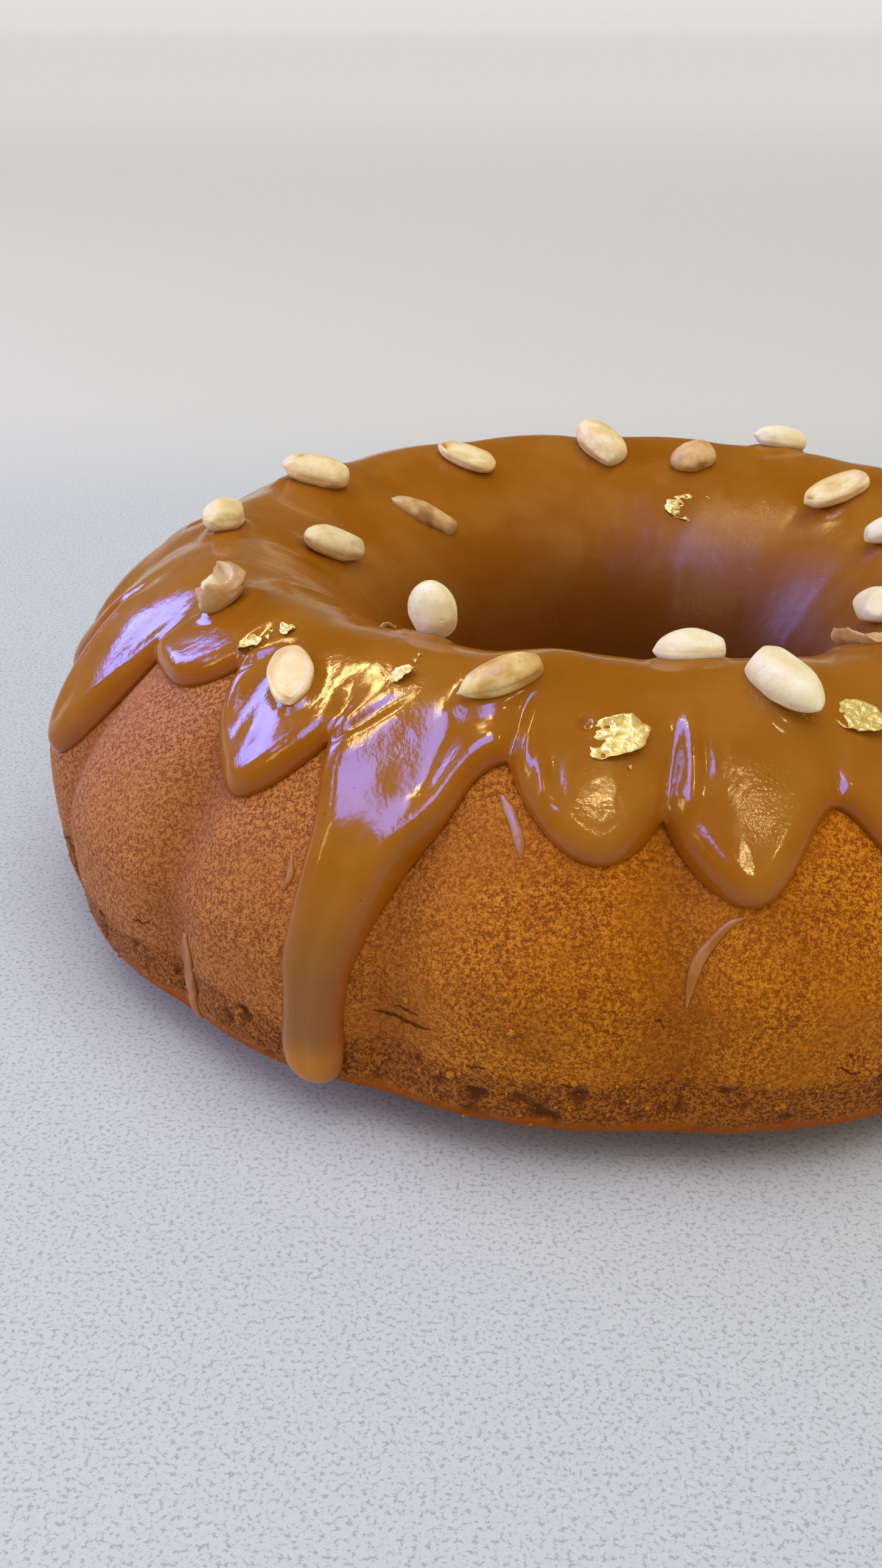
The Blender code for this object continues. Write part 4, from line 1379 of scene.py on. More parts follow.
    def border_edges(self, faces: Array) -> Array:
        """Edges that belong to one face only, in the direction in which that face runs."""
        edges = np.concatenate([faces[:, [0, 1]], faces[:, [1, 2]], faces[:, [2, 0]]])
        size = int(faces.max()) + 1
        code = np.minimum(edges[:, 0], edges[:, 1]) * size + np.maximum(edges[:, 0], edges[:, 1])
        _, first, count = np.unique(code, return_index=True, return_counts=True)
        return edges[first[count == 1]]

    def masks(self, azimuth: Array, girth: Array, depth: Array,
              drips: list[Array]) -> dict[str, Array]:
        """Masks for the finish: thin rim with painted shade at its edge, dull lower drip, amber
        bulb, pale mounds, and painted shade deep in the hole.

        Args:
            azimuth: Azimuth of each point.
            girth: Girth of each point.
            depth: Depth of each point inside the outline.
            drips: For each long drip, the depth of each point inside it.

        Returns:
            The masks by their names.
        """
        # the thin edge, partly the thinness of the glaze and partly painted shade where it meets
        # the crust
        rim = np.exp(-depth / self.rim_fade) * 0.9
        place = self.wall.place(azimuth, girth, 0.0)
        mound = smooth_step(-0.1, 0.7, rough_noise(place, 24.0 * MM, 2, 77))
        dull, amber = np.zeros(len(azimuth)), np.zeros(len(azimuth))
        for drip, own in zip(self.outline.drips, drips):
            inside = smooth_step(-2.0 * MM, 1.0 * MM, own)
            low = float(self.wall.outer_girth(drip.tip_height * MM))
            share = 0.85 if drip.dull else 0.35
            fade = smooth_step(*self.dull_ends, girth - low)
            bulb = smooth_step(*self.bulb_ends, girth - low)
            dull = np.maximum(dull, share * inside * fade * (1.0 - 0.9 * bulb))
            amber = np.maximum(amber, 0.75 * inside * bulb)
        # painted shade: the wall of the hole darkens as it goes down
        deep = 0.85 * smooth_step(*self.hole_shade_ends, girth)
        hole = smooth_step(*self.hole_ends, girth)
        return {"rim": rim, "dull": dull, "amber": amber, "mound": mound, "deep": deep,
                "hole": hole}


# ------------------------------------------------------------------ thin glaze on the crust

@dataclass
class Ribbon:
    """A thin strip laid on the crust: places with half widths, from one end to the other.

    Each row is azimuth, girth in mm and half width in mm. Its height over the crust, how deep it
    sinks in and how far it is lifted off are in mm.
    """

    rows: tuple[tuple[float, float, float], ...]
    height: float = 0.5
    sink: float = 0.35
    lift: float = 0.0
    steps: int = 48
    sides: int = 6
    mm_per_degree: float = 2.0

    def build(self, wall: RingWall, crust: Crust) -> tuple[Array, Array]:
        """Points and triangles of the strip.

        A smooth curve runs through the rows, and across it the upper side is an arch over the
        crust and the lower side lies inside the crust.
        """
        table = np.array(self.rows)
        steps = np.hypot(self.mm_per_degree * np.diff(table[:, 0]), np.diff(table[:, 1]))
        way = np.concatenate([[0.0], np.cumsum(steps)])
        at = np.linspace(0.0, way[-1], self.steps)
        azimuth, girth, half = (self.eased(at, way, table[:, k]) for k in range(3))
        degree = wall.degree(girth * MM) / MM
        run, rise = np.gradient(azimuth * degree), np.gradient(girth)
        length = np.hypot(run, rise)
        across = np.linspace(-1.0, 1.0, self.sides + 1)
        arch = np.sqrt(1.0 - across ** 2)
        ends = np.sin(math.pi * np.clip(at / way[-1], 0.02, 0.98)) ** 0.35
        side_a = azimuth[:, None] - (rise / length / degree)[:, None] * half[:, None] * across
        side_g = girth[:, None] + (run / length)[:, None] * half[:, None] * across
        ground, _ = crust.relief(side_a, side_g * MM)
        top = wall.place(side_a, side_g * MM, ground * 0.9
                         + (self.height * arch * ends[:, None] + self.lift) * MM)
        low = wall.place(side_a, side_g * MM, ground - self.sink * MM)[:, ::-1][:, 1:-1]
        return capped_grid(np.concatenate([top, low], axis=1))

    def eased(self, at: Array, way: Array, values: Array) -> Array:
        """Reads a column of the table along the way, with its corners rounded by a moving mean."""
        straight = np.interp(at, way, values)
        padded = np.pad(straight, 3, mode="edge")
        return np.convolve(padded, np.full(7, 1.0 / 7.0), mode="valid")


@dataclass
class ThinGlaze:
    """Drizzles, smears and the loose flap that lie on the crust below the tongues."""

    wall: RingWall
    crust: Crust
    ribbons: tuple[Ribbon, ...] = (
        Ribbon(((4.2, 43.3, 0.15), (3.2, 42.9, 0.55), (2.3, 41.2, 0.85), (1.4, 39.0, 1.0),
                (0.6, 36.6, 1.15), (0.25, 34.0, 1.1), (0.0, 31.4, 0.8), (-0.2, 27.4, 0.12)), 0.55),
        Ribbon(((-16.2, 62.0, 0.3), (-15.2, 59.4, 1.1), (-14.4, 56.6, 1.0), (-13.8, 53.8, 1.1),
                (-13.4, 51.0, 0.25)), 0.28),
        Ribbon(((-44.2, 20.0, 0.6), (-44.3, 15.5, 2.6), (-44.4, 10.0, 2.4), (-44.3, 5.0, 1.7),
                (-43.7, 1.0, 1.1), (-43.3, -2.2, 0.15)), 0.6, 0.6, 0.1),
        Ribbon(((118.0, 44.0, 0.2), (116.6, 41.0, 0.9), (115.8, 36.0, 1.1), (115.9, 30.0, 0.15)),
               0.5),
        Ribbon(((-101.0, 56.0, 0.3), (-100.2, 52.0, 1.1), (-99.8, 47.0, 0.2)), 0.3),
        Ribbon(((-32.9, 44.5, 0.2), (-32.4, 41.0, 0.9), (-32.6, 38.0, 0.2)), 0.4),
    )

    def build(self, finish: Material) -> Piece:
        """Joins the ribbons into one piece."""
        points, triangles = join_bodies([r.build(self.wall, self.crust) for r in self.ribbons])
        piece = make_piece("thin_glaze", points, triangles, finish)
        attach(piece, BODY)
        return piece


@dataclass
class Cracks:
    """Fine cracks in the crust, each a jagged dark strip between two places on the wall that stands
    in for the shade inside the crack.

    Each row is azimuth and girth in mm of one end, then of the other, then the widest half width.
    """

    wall: RingWall
    crust: Crust
    rows: tuple[tuple[float, float, float, float, float], ...] = (
        (-24.6, 18.6, -19.2, 19.4, 0.36), (-22.8, 20.6, -20.4, 21.0, 0.2),
        (-2.5, 25.6, -1.7, 22.2, 0.26), (11.2, 16.2, 13.2, 14.3, 0.26),
        (12.0, 18.8, 12.5, 17.4, 0.18), (-16.4, 14.0, -14.9, 14.3, 0.2),
        (-9.2, 13.0, -8.0, 12.6, 0.2), (-51.0, 17.0, -49.0, 17.6, 0.2),
        (70.0, 17.0, 73.4, 16.0, 0.22), (131.0, 20.0, 134.0, 21.2, 0.24),
        (-160.0, 15.0, -156.6, 16.0, 0.22), (-112.0, 19.0, -109.0, 18.0, 0.2),
    )
    height: float = 0.11 * MM
    sink: float = 0.3 * MM
    steps: int = 26
    seed: int = 90

    def build(self, finish: Material) -> Piece:
        """Joins the cracks into one piece of thin strips that barely stand out of the crust.

        A random walk, bent so that it ends where it began, moves each crack's line up and down and
        a little to the sides.
        """
        draw = np.random.RandomState(self.seed)
        share = np.linspace(0.0, 1.0, self.steps)
        across = np.linspace(-1.0, 1.0, 3)
        bodies = []
        for start_a, start_g, end_a, end_g, half in self.rows:
            jag = np.cumsum(draw.normal(0.0, 0.10, self.steps))
            jag -= jag[0] + (jag[-1] - jag[0]) * share
            azimuth = (start_a + (end_a - start_a) * share + 0.25 * jag)[:, None]
            middle = start_g + (end_g - start_g) * share + 1.1 * jag
            width = half * np.sin(math.pi * np.clip(share, 0.03, 0.97)) ** 0.6
            width = width * draw.uniform(0.55, 1.3, self.steps)
            girth = (middle[:, None] + width[:, None] * across) * MM
            ground, _ = self.crust.relief(azimuth, girth)
            top = self.wall.place(azimuth, girth, ground + self.height)
            low = self.wall.place(azimuth, girth, ground - self.sink)[:, ::-1]
            bodies.append(capped_grid(np.concatenate([top, low], axis=1)))
        piece = make_piece("crust_cracks", *join_bodies(bodies), finish)
        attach(piece, BODY)
        return piece


# ------------------------------------------------------------------ peanuts

class Kernel(Enum):
    """What has become of a peanut kernel."""

    WHOLE = "whole"
    SPLIT = "split"
    CUP = "cup"
    SHARD = "shard"


class Roast(Enum):
    """How dark a peanut is roasted: share of white, and of toasted places."""

    PALE = (0.95, 0.02)
    CREAM = (0.45, 0.16)
    GOLDEN = (0.35, 0.14)
    BROWN = (0.0, 0.45)


@dataclass
class Peanut:
    """One peanut: its place on the wall, its turn, its size in mm, and what it looks like.

    Azimuth and angles are in degrees, girth, size and sink in mm. Flats is how many flat places are
    pressed into it, and petals are the directions of a cup's two petals.
    """

    number: int
    azimuth: float
    girth: float
    turn: float
    lean: float
    roll: float
    length: float
    width: float
    height: float
    kernel: Kernel = Kernel.WHOLE
    roast: Roast = Roast.PALE
    flipped: bool = False
    taper: float = 0.42
    sink: float = 1.3
    flats: int = 10
    petals: tuple[float, float] = (-100.0, 55.0)
    rings: int = 46
    sides: int = 40

    def surface(self) -> tuple[Array, Array, Array]:
        """The kernel in its own axes, in mm: loops of points, and the masks ridge and toasted.

        Round the kernel the section is an ellipse whose lower half is flattened, and along it the
        radius follows a sine with the widest place nearer to the blunt end. The kernel's form then
        changes the height of the upper side: a split kernel is cut flat with a rim and a hollow
        for the germ, a cup is dished, and a shard is thin and curled.
        """
        seed = 200 + 17 * self.number
        share = np.linspace(0.012, 0.988, self.rings)[:, None]
        angle = np.linspace(0.0, 2.0 * math.pi, self.sides, endpoint=False)[None, :]
        swell = np.sin(math.pi * share ** 0.88) ** (0.62 + self.taper * share ** 2)
        x = -np.cos(math.pi * share) * 0.5 * self.length + 0.0 * angle
        y = 0.5 * self.width * swell * np.cos(angle)
        z = 0.5 * self.height * swell * np.sin(angle)
        z = np.where(z < 0.0, 0.8 * z, z)
        unit = np.stack([x, y, z], -1) + 40.0 * self.number
        broad = rough_noise(unit, 5.5, 2, seed)
        lines = rough_noise(unit * [0.22, 1.0, 1.0], 1.7, 2, seed + 3)
        dents = rough_noise(unit, 1.5, 2, seed + 5)
        patch = rough_noise(unit, 4.0, 3, seed + 7)
        seam = bell(np.sin(angle), 0.13) * np.sin(math.pi * share) ** 0.5
        push = 1.0 + 0.085 * broad + 0.045 * lines + 0.022 * dents - 0.035 * seam
        nub = bell(share - 1.0, 0.06) + 0.4 * bell(share, 0.05)
        x, y, z = self.planed(x * (1.0 + 0.05 * nub), y * push, z * push, seed + 11)
        ridge = np.clip(0.75 * seam + 0.5 * smooth_step(0.15, 0.6, lines), 0.0, 1.0)
        toasted = self.toasted(patch + 0.35 * nub)
        if self.kernel is Kernel.SPLIT:
            z, face = self.split_face(x, y, z)
            ridge = np.clip(ridge * (1.0 - face) + 0.75 * self.rim_of(x, y) * face, 0.0, 1.0)
            germ = bell(x - 0.40 * self.length, 1.1) * bell(y, 1.0) * (z > 0.0)
            toasted = np.clip(toasted + 0.9 * germ, 0.0, 0.95)
        elif self.kernel is Kernel.CUP:
            skin = smooth_step(0.46, 0.30, (z + 0.5 * dents) / self.height)
            # painted shade in the cup's hollow, added to the toasted mask
            shade = smooth_step(0.5, 0.2, self.away(x, y))
            z = self.dished(x, y, z, dents)
            toasted = np.maximum(toasted * 0.3, 0.85 * skin) + 0.25 * (z > 0.0) * shade
        elif self.kernel is Kernel.SHARD:
            curl = (2.0 * y / self.width) ** 2 * 0.35 * self.width
            z = z * 0.45 + 0.8 * curl - 0.12 * self.height + 0.5 * dents
        more = 0.35 - 0.4 * self.roast.value[0]
        ridge = np.clip(ridge + more * smooth_step(-0.3, 0.5, patch), 0.0, 1.0)
        return np.stack([-x if self.flipped else x, y, z], -1), ridge, toasted

    def toasted(self, patch: Array) -> Array:
        """How toasted each place is: the noise's highest parts, more of them with the roast."""
        toast = self.roast.value[1]
        share = smooth_step(0.55 - toast, 0.95 - 0.6 * toast, patch)
        return np.clip(share * (0.35 + toast), 0.0, 0.95)

    def away(self, x: Array, y: Array) -> Array:
        """Distance from the kernel's middle seen from above: 1 on its greatest ellipse."""
        return np.hypot(2.0 * x / self.length, 2.0 * y / self.width)

    def planed(self, x: Array, y: Array, z: Array, seed: int) -> tuple[Array, Array, Array]:
        """Flattens the kernel at a few drawn places, as real kernels are.

        In a frame where the kernel is a ball of radius 1, what stands out beyond each of the drawn
        planes is pressed back towards it.
        """
        draw = np.random.RandomState(seed)
        scale = 0.5 * np.array([self.length, self.width, self.height])
        ball = np.stack([x, y, z], -1) / scale
        for _ in range(self.flats):
            normal = draw.normal(size=3) * [0.75, 1.0, 1.0]
            normal /= np.linalg.norm(normal)
            beyond = ball @ normal - draw.uniform(0.88, 0.97)
            soft = 0.5 * (beyond + np.sqrt(beyond ** 2 + 0.0012))
            ball = ball - 0.85 * soft[..., None] * normal
        ball = ball * scale
        return ball[..., 0], ball[..., 1], ball[..., 2]

    def rim_of(self, x: Array, y: Array) -> Array:
        """Closeness to the kernel's outline seen from above, 1 on it."""
        return smooth_step(0.66, 0.92, self.away(x, y))

    def split_face(self, x: Array, y: Array, z: Array) -> tuple[Array, Array]:
        """Cuts the upper side flat, with a raised rim, a shallow dish and the germ's hollow.

        Above the cut the height is a smooth minimum of the kernel's own and the cut's.

        Returns:
            The new height, and how much each point belongs to the cut.
        """
        level = 0.14 * self.height
        rim = self.rim_of(x, y)
        germ = bell(x - 0.33 * self.length, 0.11 * self.length) * bell(y, 0.13 * self.width)
        line = bell(y, 0.06 * self.width) * smooth_step(0.45, 0.2, np.abs(x) / self.length)
        flat = level + 0.5 * rim - 0.35 - 0.9 * germ - 0.2 * line
        soft = 0.5
        shallow = 0.5 * (z + flat - np.sqrt((z - flat) ** 2 + soft ** 2)) + 0.15
        face = smooth_step(-0.3, 0.6, z - flat)
        return shallow, face

    def dished(self, x: Array, y: Array, z: Array, dents: Array) -> Array:
        """Pushes the upper side of a broken kernel down into a cup with two petals on its rim."""
        away, turn = self.away(x, y), np.degrees(np.arctan2(y, x))
        dish = 1.0 - smooth_step(0.22, 0.74, away)
        rim = smooth_step(0.40, 0.74, away) * smooth_step(1.08, 0.86, away)
        petals = (bell(wrap(turn - self.petals[0]), 46.0)
                  + 0.8 * bell(wrap(turn - self.petals[1]), 40.0) - 0.5)
        lowered = z - dish * 0.85 * self.height + rim * (3.0 * petals + 0.9 * dents)
        return np.where(z > 0.0, lowered, z)

    def build(self, wall: RingWall, finish: Material) -> Piece:
        """Places the kernel as its solid stands on the wall, and makes the piece."""
        lean = math.radians(self.lean)
        stand = 0.5 * self.length * math.sin(lean) + 0.42 * self.height * math.cos(lean)
        lift = float(wall.film(self.girth * MM)) + (stand - self.sink) * MM
        middle, long_axis, side_axis, high_axis = wall.turned_axes(
            self.azimuth, self.girth * MM, lift, self.turn, self.lean)
        roll = math.radians(self.roll)
        side, high = (side_axis * math.cos(roll) + high_axis * math.sin(roll),
                      high_axis * math.cos(roll) - side_axis * math.sin(roll))
        loops, ridge, toasted = self.surface()
        points = middle + (loops[..., :1] * long_axis + loops[..., 1:2] * side
                           + loops[..., 2:] * high) * MM
        flat, triangles = capped_grid(points)
        masks = {"ridge": np.concatenate([ridge.ravel(), [0.2, 0.6]]),
                 "toasted": np.concatenate([toasted.ravel(), toasted[0, :1], toasted[-1, :1]])}
        piece = make_piece(f"kernel_{self.number:02d}", flat, triangles, finish, masks)
        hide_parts(f"peanut_{self.number:02d}")
        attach(piece, BODY)
        return piece


@dataclass
class PeanutTopping:
    """All the peanuts: the named ones in front, then further ones spread by a seeded draw."""

    wall: RingWall
    # azimuth, girth, turn, lean, roll, length, width, height, form, roast, flipped and taper, as
    # the peanut's own fields
    named: tuple[tuple, ...] = (
        (-41.3, 72.9, 128.7, 2.0, 8.0, 13.4, 8.6, 6.2, Kernel.SPLIT, Roast.CREAM, True),
        (-18.6, 80.3, 35.9, 4.0, -14.0, 15.0, 7.4, 7.0, Kernel.WHOLE, Roast.GOLDEN, True, 1.1),
        (-35.2, 97.2, -90.0, 60.0, 0.0, 11.4, 9.8, 8.4, Kernel.WHOLE, Roast.PALE, False, 0.9),
        (2.5, 92.6, 2.0, 0.0, 0.0, 12.4, 9.0, 7.6, Kernel.WHOLE, Roast.PALE, True, 0.6),
        (10.8, 80.0, -66.3, 6.0, 6.0, 16.6, 8.8, 8.2, Kernel.WHOLE, Roast.PALE, False, 0.8),
        (76.0, 117.0, 26.0, 8.0, 0.0, 15.4, 9.4, 7.0, Kernel.WHOLE, Roast.PALE),
        (30.0, 97.0, 76.0, 3.0, 18.0, 16.4, 8.6, 5.0, Kernel.SHARD, Roast.BROWN),
        (-97.7, 106.3, -36.0, 3.0, 0.0, 18.4, 9.2, 7.6, Kernel.WHOLE, Roast.CREAM),
        (-61.9, 80.8, 62.0, 14.0, 10.0, 11.4, 9.8, 8.0, Kernel.CUP, Roast.PALE),
        (-91.6, 85.4, -14.0, 8.0, -6.0, 11.8, 9.4, 8.0, Kernel.WHOLE, Roast.CREAM),
        (-120.3, 89.8, -56.0, 4.0, 0.0, 16.4, 10.6, 8.0, Kernel.WHOLE, Roast.CREAM),
        (-135.7, 109.9, -47.4, 2.0, 0.0, 17.6, 6.6, 6.0, Kernel.WHOLE, Roast.BROWN),
        (-153.8, 95.8, -38.0, 4.0, 6.0, 15.4, 9.6, 6.8, Kernel.SPLIT, Roast.CREAM),
        (178.6, 93.8, -54.0, 10.0, -8.0, 16.6, 10.2, 7.6, Kernel.WHOLE, Roast.CREAM),
        (160.0, 97.4, 42.0, 2.0, 4.0, 11.6, 10.0, 7.4, Kernel.WHOLE, Roast.BROWN),
        (147.0, 84.0, 38.0, 2.0, 0.0, 13.6, 9.2, 7.2, Kernel.WHOLE, Roast.PALE),
        (126.2, 100.9, 68.7, 5.0, 0.0, 16.2, 9.8, 7.8, Kernel.SPLIT, Roast.CREAM),
    )
    more: int = 8
    more_from: float = 50.0
    more_to: float = 114.0
    seed: int = 23

    def peanuts(self) -> list[Peanut]:
        """The named peanuts, then the drawn ones, alternately inside and outside the crest."""
        draw = np.random.RandomState(self.seed)
        rows = list(self.named)
        for azimuth in np.linspace(self.more_from, self.more_to, self.more):
            middle = 100.0 if len(rows) % 2 else 78.0
            rows.append((
                azimuth + draw.uniform(-3.0, 3.0), middle + draw.uniform(-4.0, 4.0),
                draw.uniform(-80.0, 80.0), draw.uniform(0.0, 8.0), draw.uniform(-8.0, 8.0),
                draw.uniform(14.5, 17.0), draw.uniform(9.0, 10.6), draw.uniform(6.6, 8.4),
                (Kernel.WHOLE, Kernel.SPLIT, Kernel.WHOLE)[len(rows) % 3],
                (Roast.PALE, Roast.GOLDEN, Roast.GOLDEN, Roast.PALE)[len(rows) % 4],
            ))
        return [Peanut(number, *row) for number, row in enumerate(rows, start=1)]

    def build(self) -> list[Piece]:
        """Makes every peanut as its own piece, each in the finish of its roast."""
        finishes = {
            Roast.PALE: PeanutFinish().make(),
            Roast.CREAM: PeanutFinish("peanut_cream", (0.86, 0.66, 0.32), (0.96, 0.85, 0.56),
                                      (0.66, 0.38, 0.10), (0.44, 0.18, 0.04)).make(),
            Roast.GOLDEN: PeanutFinish("peanut_golden", (0.66, 0.40, 0.10), (0.90, 0.72, 0.34),
                                       (0.46, 0.22, 0.03), (0.32, 0.12, 0.02)).make(),
            Roast.BROWN: PeanutFinish("peanut_brown", (0.66, 0.40, 0.16), (0.82, 0.58, 0.28),
                                      (0.50, 0.25, 0.06), (0.34, 0.13, 0.03)).make(),
        }
        return [nut.build(self.wall, finishes[nut.roast]) for nut in self.peanuts()]


# ------------------------------------------------------------------ gold leaf

@dataclass
class GoldLeaf:
    """Flakes of crumpled gold leaf on the glaze, and a few specks beside them."""

    wall: RingWall
    # azimuth, girth in mm, turn, lean, length, width in mm
    flakes: tuple[tuple[float, ...], ...] = (
        (-6.5, 72.1, 20.0, 6.0, 11.5, 8.5), (18.0, 74.7, -30.0, 6.0, 11.0, 7.0),
        (-30.0, 79.6, 10.0, 24.0, 6.5, 4.0), (-51.2, 75.9, 40.0, 6.0, 6.0, 3.6),
        (-48.8, 82.2, -20.0, 10.0, 5.2, 3.4), (-47.0, 102.0, 10.0, 30.0, 6.4, 4.6),
        (157.8, 112.0, 5.0, 14.0, 13.0, 8.0), (52.5, 97.0, 30.0, 6.0, 9.0, 6.0),
        (94.0, 96.0, -15.0, 12.0, 10.5, 7.0),
    )
    # azimuth, girth in mm and size in mm of the specks
    specks: tuple[tuple[float, float, float], ...] = (
        (12.0, 75.2, 1.5), (12.8, 74.6, 1.1), (-29.4, 83.0, 1.2), (-29.5, 84.6, 0.9),
        (-49.9, 79.0, 1.4), (-50.3, 80.4, 1.0), (-5.0, 67.4, 0.9), (56.0, 94.0, 1.3),
        (97.5, 92.0, 1.2), (154.0, 108.0, 1.3),
    )
    # rings and sides of a flake's mesh and the height of its folds, then the same for a speck
    flake_mesh: tuple[int, int, float] = (13, 60, 0.95 * MM)
    speck_mesh: tuple[int, int, float] = (5, 14, 0.3 * MM)
    thickness: float = 0.10 * MM
    lift: float = 0.35 * MM
    curl: float = 0.35 * MM
    seed: int = 11

    def sheet(self, draw: np.random.RandomState, mesh: tuple[int, int, float],
              row: Sequence[float]) -> tuple[Array, Array]:
        """Points and triangles of one flake.

        On rings round the middle the outline is an ellipse made ragged by noise, and the sheet's
        height is ridged noise, one minus twice the size of the noise, so that it has sharp folds.

        Args:
            draw: The seeded draw.
            mesh: Rings, sides and the height of the folds.
            row: Azimuth, girth in mm, turn, lean, and length and width in mm.

        Returns:
            The closed sheet.
        """
        rings, sides, crumple = mesh
        azimuth, girth, turn, lean, length, width = row
        lift = float(self.wall.film(girth * MM)) + self.lift
        middle, long_axis, side_axis, high_axis = self.wall.turned_axes(
            azimuth, girth * MM, lift, turn, lean)
        share = np.linspace(0.03, 1.0, rings)[:, None]
        angle = np.linspace(0.0, 2.0 * math.pi, sides, endpoint=False)[None, :]
        place = draw.uniform(0.0, 900.0)
        circle = np.stack([np.cos(angle), np.sin(angle), 0.0 * angle], -1) + place
        ragged = 0.92 + 0.24 * rough_noise(circle * [1.0, 1.0, 0.0] + [0.0, 0.0, place], 0.9, 2, 3)
        ragged = ragged + 0.10 * rough_noise(circle + 5.0, 0.22, 2, 9)
        radius = share * (1.0 + (ragged - 1.0) * share ** 2)
        x = 0.5 * length * MM * radius * np.cos(angle)
        y = 0.5 * width * MM * radius * np.sin(angle)
        spots = np.stack([x, y, np.full_like(x, place * MM)], -1)
        folds = 1.0 - 2.0 * np.abs(rough_noise(spots, 2.6 * MM, 3, 13, 0.55))
        curl = self.curl * share ** 4 * np.sin(2.0 * angle + place)
        height = crumple * (folds - 0.5) * (0.5 + 0.5 * share) + curl
        flat = middle + x[..., None] * long_axis + y[..., None] * side_axis
        above, below = (flat + (height + side * self.thickness)[..., None] * high_axis
                        for side in (0.5, -0.5))
        return capped_grid(np.concatenate([above, below[::-1]]))

    def build(self, finish: Material) -> Piece:
        """Joins all flakes and specks into one piece."""
        draw = np.random.RandomState(self.seed)
        bodies = [self.sheet(draw, self.flake_mesh, row) for row in self.flakes]
        for azimuth, girth, size in self.specks:
            turn, lean = draw.uniform(0.0, 180.0), draw.uniform(0.0, 20.0)
            bodies.append(self.sheet(draw, self.speck_mesh,
                                     (azimuth, girth, turn, lean, size, 0.6 * size)))
        piece = make_piece("gold_leaf", *join_bodies(bodies), finish)
        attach(piece, BODY)
        return piece


# ------------------------------------------------------------------ stage

@dataclass(frozen=True)
class StoneFinish:
    """Pale fine-speckled worktop."""

    pale: Colour = (0.60, 0.66, 0.72)
    speckle: Colour = (0.24, 0.27, 0.30)
    warm: Colour = (0.71, 0.735, 0.74)
    distant: Colour = (0.86, 0.89, 0.95)

    def make(self) -> Material:
        """Builds the material: speckles near the cake, two plainer and paler tones behind it."""
        material, bench, shader = new_finish("worktop")
        place = bench.object_place()
        away = bench.along(place, "Y")
        grains = bench.noise(place, 1150.0, 2.0, 0.7)
        colour = bench.layered(
            self.pale,
            (self.speckle, bench.step(grains, 0.5, 0.66), 0.55),
            (self.warm, bench.step(away, 0.2, 0.5), 1.0),
            (self.distant, bench.step(away, 0.6, 4.0), 1.0),
        )
        bench.fill(shader, Base_Color=colour, Roughness=0.55, Specular_IOR_Level=0.25)
        return material


WINDOW_BLUE: Colour = (0.18, 0.27, 1.0)
CEILING_GOLD: Colour = (1.0, 0.77, 0.34)


def new_light(name: str, kind: str, power: float, colour: Colour) -> Piece:
    """Adds a light of a kind to the scene."""
    data = bpy.data.lights.new(name, kind)
    data.energy = power
    data.color = colour
    lamp = bpy.data.objects.new(name, data)
    bpy.context.scene.collection.objects.link(lamp)
    return lamp


@dataclass(frozen=True)
class SoftLamp:
    """A rectangular soft light that points at the cake.

    The direction is from the aim to the light, distance and size are in metres, and the roll turns
    it about its own axis. It may light without being mirrored, or be mirrored without lighting.
    """

    name: str
    direction: tuple[float, float, float]
    distance: float
    size: tuple[float, float]
    power: float
    colour: Colour
    lights: bool = True
    mirrors: bool = True
    roll: float = 0.0
    aim: tuple[float, float, float] = (0.0, -0.03, 0.06)

    def place(self) -> None:
        """Adds the light to the scene."""
        lamp = new_light(self.name, "AREA", self.power, self.colour)
        lamp.data.shape = "RECTANGLE"
        lamp.data.size, lamp.data.size_y = self.size
        away = Vector(self.direction).normalized()
        lamp.location = Vector(self.aim) + away * self.distance
        rolled = Quaternion((0.0, 0.0, 1.0), math.radians(self.roll))
        lamp.rotation_euler = (away.to_track_quat("Z", "Y") @ rolled).to_euler()
        lamp.visible_diffuse = self.lights
        lamp.visible_glossy = self.mirrors


@dataclass(frozen=True)
class WideSun:
    """Even light from a wide part of the room, which the glaze doesn't mirror."""

    name: str
    direction: tuple[float, float, float]
    spread: float
    power: float
    colour: Colour

    def place(self) -> None:
        """Adds the light to the scene."""
        lamp = new_light(self.name, "SUN", self.power, self.colour)
        lamp.data.angle = math.radians(self.spread)
        lamp.rotation_euler = Vector(self.direction).to_track_quat("Z", "Y").to_euler()
        lamp.visible_glossy = False


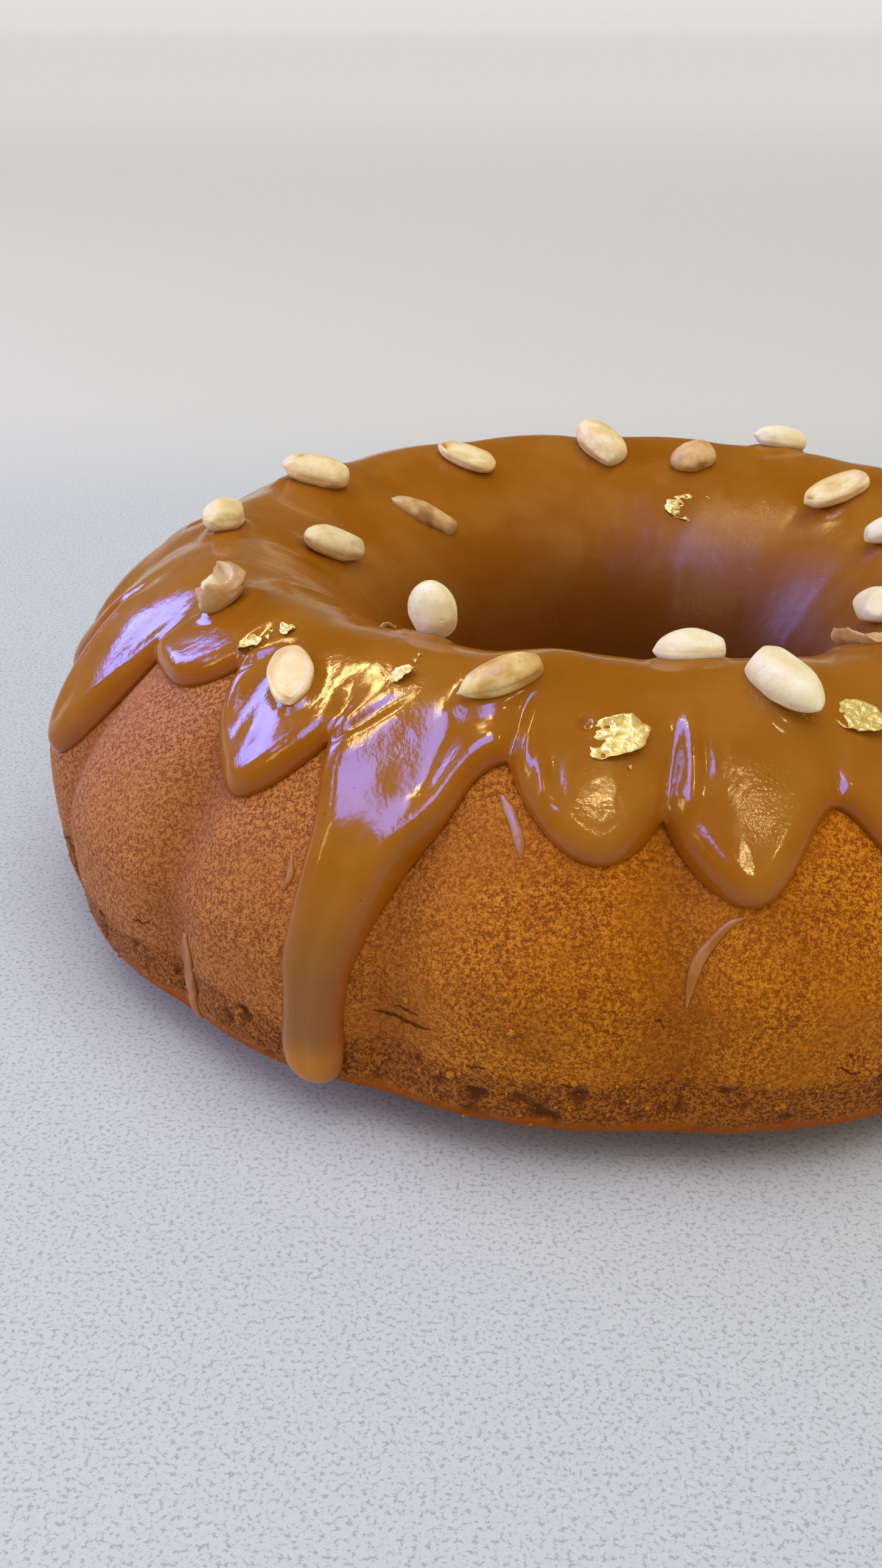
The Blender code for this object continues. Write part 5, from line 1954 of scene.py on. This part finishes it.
@dataclass
class Stage:
    """Worktop, lights, surrounding light and camera; lengths in metres, pitch in degrees."""

    flat_half: float = 20.0
    cove_reach: float = 5.5
    cove_radius: float = 10.0
    camera_place: tuple[float, float, float] = (-0.0397, -0.3357, 0.1783)
    camera_pitch: float = 64.13
    lens: float = 36.335
    sensor: float = 36.0
    horizon: Colour = (0.34, 0.29, 0.20)
    ceiling: Colour = (0.075, 0.062, 0.040)
    lamps: tuple[SoftLamp, ...] = (
        SoftLamp("window_front", (-0.42, -0.23, 0.88), 1.3, (0.60, 0.40), 16.5, WINDOW_BLUE,
                 lights=False, roll=-24.0),
        SoftLamp("window_side", (-0.75, 0.00, 0.66), 1.3, (0.30, 0.08), 1.8, WINDOW_BLUE,
                 lights=False, roll=-2.0),
        SoftLamp("doorway", (-0.69, -0.40, 0.61), 1.3, (0.12, 0.34), 1.8, CEILING_GOLD,
                 lights=False),
        SoftLamp("window_back", (-0.74, 0.51, 0.44), 1.3, (0.44, 0.40), 12.5, WINDOW_BLUE,
                 lights=False),
        SoftLamp("ceiling_back", (-0.45, 0.36, 0.82), 1.6, (0.26, 0.14), 5.0, CEILING_GOLD,
                 lights=False),
        SoftLamp("ceiling_left", (-0.40, 0.06, 0.91), 1.6, (0.34, 0.12), 5.5, CEILING_GOLD,
                 lights=False, roll=11.0),
        SoftLamp("ceiling_right", (0.13, -0.36, 0.92), 1.6, (0.10, 0.05), 1.6, CEILING_GOLD,
                 lights=False, roll=20.0),
        SoftLamp("cool_side", (-0.94, 0.04, 0.33), 1.5, (1.6, 0.8), 13.5, (0.64, 0.64, 1.0),
                 mirrors=False),
    )
    suns: tuple[WideSun, ...] = (
        WideSun("sky", (0.0, 0.0, 1.0), 170.0, 0.75, (1.0, 0.98, 0.95)),
        WideSun("overhead", (0.10, -0.22, 0.97), 60.0, 1.65, (1.0, 0.95, 0.87)),
        WideSun("warm_side", (0.65, -0.62, 0.45), 40.0, 0.40, (1.0, 0.86, 0.60)),
    )

    def build(self) -> None:
        """Makes the floor, the lights, the surrounding light and the camera."""
        floor = make_piece("floor", *self.ground(), StoneFinish().make(), closed=False)
        for lamp in (*self.lamps, *self.suns):
            lamp.place()
        self.surround()
        bpy.context.scene.view_settings.view_transform = "Standard"
        data = bpy.data.cameras.new("view")
        data.lens, data.sensor_width = self.lens, self.sensor
        data.clip_start, data.clip_end = 0.01, 50.0
        camera = bpy.data.objects.new("view", data)
        camera.location = self.camera_place
        camera.rotation_euler = (math.radians(self.camera_pitch), 0.0, 0.0)
        bpy.context.scene.collection.objects.link(camera)
        bpy.context.scene.camera = camera

    def ground(self) -> tuple[Array, Array]:
        """Points and triangles of the floor: a flat square whose far rim sweeps up as a cove.

        Past the flat part the height follows a circle, so that the rim hides the horizon.
        """
        half = self.flat_half + np.linspace(0.0, self.cove_reach, 12)
        half = np.concatenate([[0.97 * self.flat_half], half])
        side = np.concatenate([-half[::-1], half])
        x, y = np.meshgrid(side, side, indexing="ij")
        past = np.clip(np.maximum(np.abs(x), np.abs(y)) - self.flat_half, 0.0, None)
        z = self.cove_radius - np.sqrt(self.cove_radius ** 2 - past ** 2)
        points = np.stack([x, y, z], -1).reshape(-1, 3)
        return points, grid_triangles(len(side), len(side), False, False)[:, ::-1]

    def surround(self) -> None:
        """Lights the scene softly from all round: pale near the horizon, darker overhead."""
        world = bpy.data.worlds.new("surrounding")
        world.use_nodes = True
        bench = NodeBench(world.node_tree)
        direction = world.node_tree.nodes.new("ShaderNodeTexCoord").outputs["Generated"]
        height = bench.along(direction, "Z")
        colour = bench.blend(bench.step(height, 0.05, 0.65), self.horizon, self.ceiling)
        bench.fill(world.node_tree.nodes["Background"], Color=colour)
        bpy.context.scene.world = world


def main() -> None:
    """Builds the pieces in order."""
    logging.basicConfig(level=logging.INFO, format="%(name)s %(message)s")
    Stage().build()
    wall = RingWall()
    crust = Crust(wall)
    crust_finish = CrustFinish().make()
    crust.build(crust_finish)
    Crumbs(wall, crust).build(crust_finish)
    Cracks(wall, crust).build(CrackFinish().make())
    topping = PeanutTopping(wall)
    topping.build()
    outline = GlazeOutline(wall)
    relief = GlazeRelief(wall, outline, topping.peanuts())
    Glaze(wall, outline, relief).build(GlazeFinish().make())
    ThinGlaze(wall, crust).build(SmearFinish().make())
    GoldLeaf(wall).build(GoldFinish().make())


if __name__ == "__main__":
    main()
